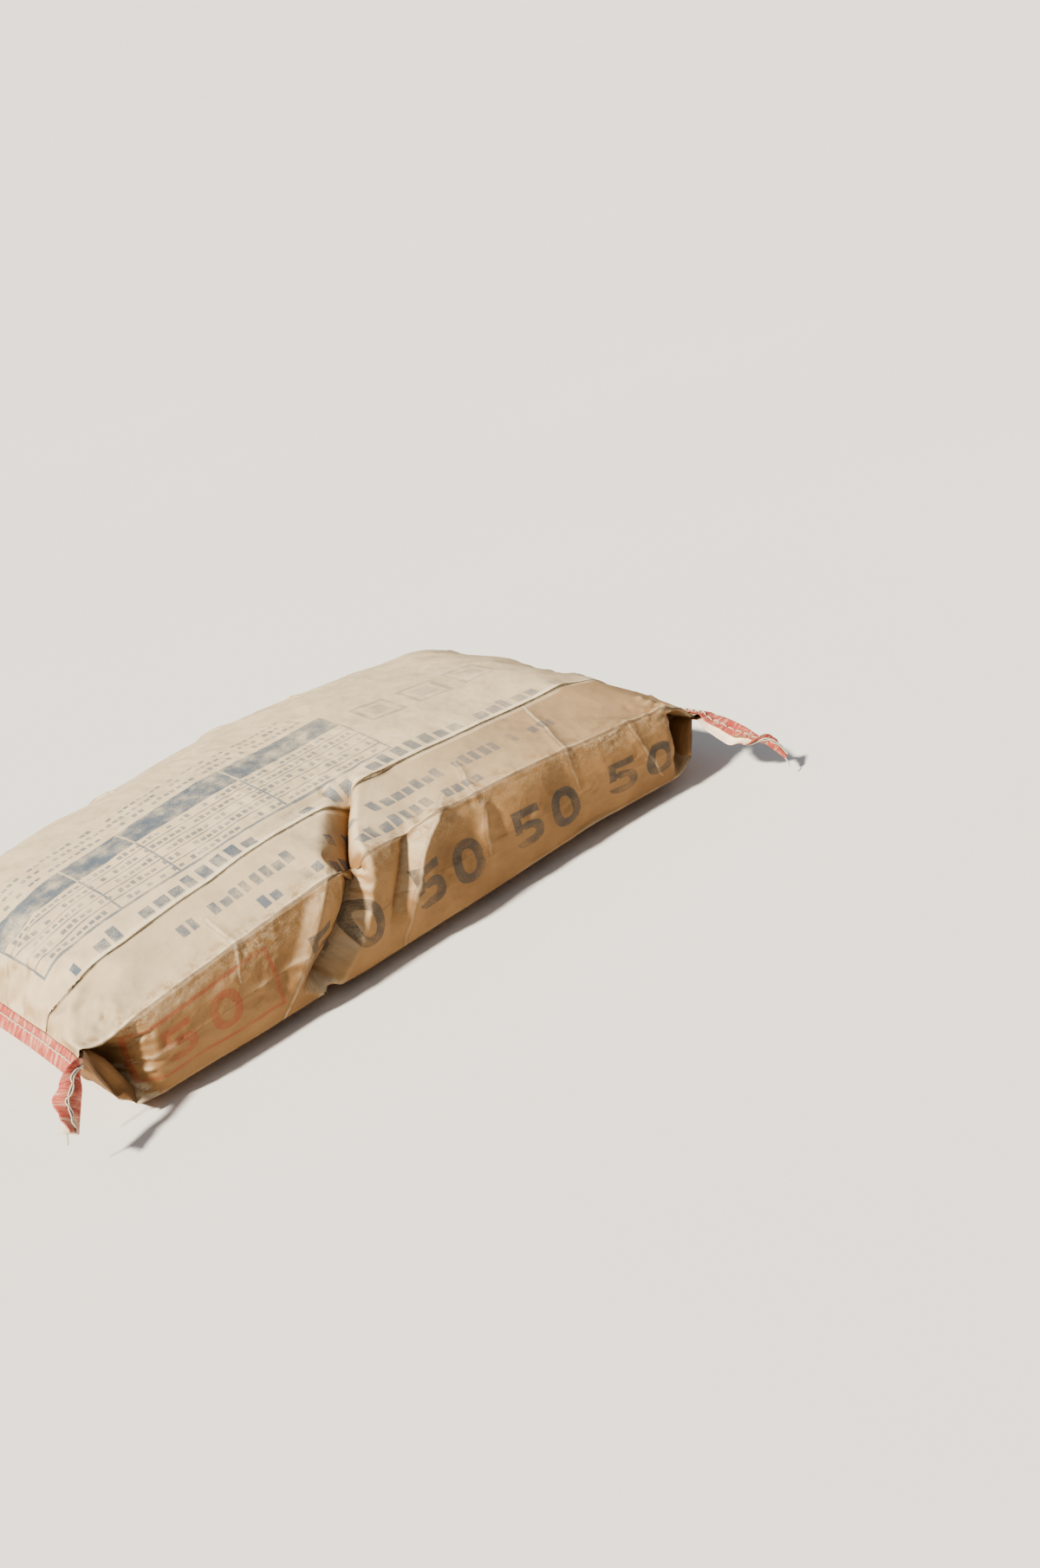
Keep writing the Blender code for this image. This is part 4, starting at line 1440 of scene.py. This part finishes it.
class CementBagSizes(bpy.types.PropertyGroup):
    """Sizes of the paper's relief, the tapes and the stitches"""

    swell_height: length_choice("Swells", "Height of the filling's broad lumps under the paper", 0.0030)
    ripple_height: length_choice("Ripples", "Height of the smaller lumps between them", 0.0014)
    crease_share: share_choice("Creases", "Height of the pressed creases, as a share of the usual", 1.0)
    seam_step: length_choice("Seam Step", "Height of the lapped seam's edge on the top panel", 0.0007)
    tape_thickness: length_choice("Tape Thickness", "Thickness of the crepe tape", 0.0006)
    edge_flare: length_choice("Edge Flare", "How far the tape's edges lift off the lip", 0.0011)
    wrinkle_height: length_choice("Wrinkles", "Height of the wrinkles across the tape", 0.0007)
    crinkle_height: length_choice("Crinkles", "Height of the crepe's fine crinkles", 0.0005)
    pucker_height: length_choice("Puckers", "Height of the tape between two stitches", 0.0006)
    stitch_length: length_choice("Stitch Length", "From one hole of the seam to the next", 0.0085)
    thread_diameter: length_choice("Thread Diameter", "Diameter of the stitching thread", 0.0014)


class CementBagLook(bpy.types.PropertyGroup):
    """Colours, dust and wear of the sack, its tapes and its threads"""

    kraft: colour_choice("Kraft", "Clean kraft paper", 166, 127, 84)
    kraft_dark: colour_choice("Stained Kraft", "Kraft paper where it is stained", 128, 94, 58)
    dust: colour_choice("Cement Dust", "Dust and scuffed fibres", 243, 228, 196)
    # This colour is also used for painted shade: in inward bends, under the seam's flap, beside the scuffed
    # ridges and at the tape's stitch holes
    grime_and_shade: colour_choice("Grime", "Dirt in the creases", 82, 54, 32)
    blue_ink: colour_choice("Blue Ink", "Print on the top panel", 42, 80, 108)
    dark_ink: colour_choice("Dark Ink", "Bold print on the gussets", 52, 60, 62)
    red_ink: colour_choice("Red Ink", "Boxed print on the gussets", 158, 74, 52)
    tape: colour_choice("Tape", "Closing tape where it kept its colour", 184, 80, 70)
    tape_faded: colour_choice("Faded Tape", "Closing tape where it faded", 200, 118, 100)
    # painted shade of the tape's crinkles
    tape_crinkle_shade: colour_choice("Tape Crinkles", "Closing tape deep in its crinkles", 112, 42, 38)
    tape_inside: colour_choice("Tape Inside", "Inner side of the closing tape", 232, 214, 204)
    thread: colour_choice("Thread", "Stitching thread", 232, 226, 210)
    thread_shade: colour_choice("Thread Shade", "Stitching thread between its strands", 176, 164, 140)
    dust_cover: share_choice("Dust Cover", "How much of the top panel the dust hides", 0.70, max=1.0)
    ink_wear: share_choice("Ink Left", "How much of the print is left on the paper", 0.72, max=1.0)


class CEMENTBAG_OT_sack(bpy.types.Operator):
    """Model the filled paper sack"""

    bl_idname = "cementbag.sack"
    bl_label = "Filled Sack"

    def execute(self, context):
        mesh = build_sack(context.scene.cement_bag_sizes)
        mesh.shade_smooth()
        mesh.materials.append(kraft_finish(context.scene.cement_bag_look))
        sack = add_piece("sack_paper", mesh, "filled_sack")
        return {"FINISHED"}


class CEMENTBAG_OT_tapes(bpy.types.Operator):
    """Fold a crepe tape over each lip, with its tail"""

    bl_idname = "cementbag.tapes"
    bl_label = "Closing Tapes"

    def execute(self, context):
        look = context.scene.cement_bag_look
        size = context.scene.cement_bag_sizes
        outside = crepe_finish(look, size, "crepe_tape", inner=False)
        inside = crepe_finish(look, size, "crepe_tape_inside", inner=True)
        for end in ENDS:
            mesh = build_tape(end, size)
            mesh.shade_smooth()
            mesh.materials.append(outside)
            mesh.materials.append(inside)
            tape = add_piece(f"crepe_tape_{end}", mesh, f"closing_tape_{end}")
            wall = tape.modifiers.new("Thickness", "SOLIDIFY")
            wall.thickness = size.tape_thickness
            wall.offset = 1.0
            wall.material_offset = 1
        return {"FINISHED"}


class CEMENTBAG_OT_threads(bpy.types.Operator):
    """Sew each tape and lip through with a thread"""

    bl_idname = "cementbag.threads"
    bl_label = "Stitching Threads"

    def execute(self, context):
        finish = thread_finish(context.scene.cement_bag_look)
        for end in ENDS:
            seam = build_thread(end, context.scene.cement_bag_sizes)
            seam.materials.append(finish)
            add_piece(f"sewn_thread_{end}", seam, f"stitching_thread_{end}")
        return {"FINISHED"}


class CEMENTBAG_OT_stage(bpy.types.Operator):
    """Make the pale floor, the soft lights and the camera at the photograph's angle"""

    bl_idname = "cementbag.stage"
    bl_label = "Studio"

    def execute(self, context):
        context.scene.view_settings.look = "AgX - Medium High Contrast"
        lay_floor()
        light_sky(context.scene)
        hang_key()
        set_camera(context.scene)
        return {"FINISHED"}


class CEMENTBAG_PT_panel(bpy.types.Panel):
    """Lists the sack's sizes, its looks and its steps"""

    bl_idname = "CEMENTBAG_PT_panel"
    bl_label = "Cement Bag"
    bl_space_type = "VIEW_3D"
    bl_region_type = "UI"
    bl_category = "Cement Bag"

    def draw(self, context):
        for group in (context.scene.cement_bag_sizes, context.scene.cement_bag_look):
            for name in type(group).__annotations__:
                self.layout.prop(group, name)
        for cls in CLASSES:
            if issubclass(cls, bpy.types.Operator):
                self.layout.operator(cls.bl_idname)


CLASSES = (
    CementBagSizes,
    CementBagLook,
    CEMENTBAG_PT_panel,
    CEMENTBAG_OT_sack,
    CEMENTBAG_OT_tapes,
    CEMENTBAG_OT_threads,
    CEMENTBAG_OT_stage,
)


def register():
    for cls in CLASSES:
        bpy.utils.register_class(cls)
    bpy.types.Scene.cement_bag_sizes = bpy.props.PointerProperty(type=CementBagSizes)
    bpy.types.Scene.cement_bag_look = bpy.props.PointerProperty(type=CementBagLook)


def unregister():
    del bpy.types.Scene.cement_bag_look
    del bpy.types.Scene.cement_bag_sizes
    for cls in reversed(CLASSES):
        bpy.utils.unregister_class(cls)


def main():
    register()
    bpy.ops.cementbag.sack()
    bpy.ops.cementbag.tapes()
    bpy.ops.cementbag.threads()
    bpy.ops.cementbag.stage()


if __name__ == "__main__":
    main()
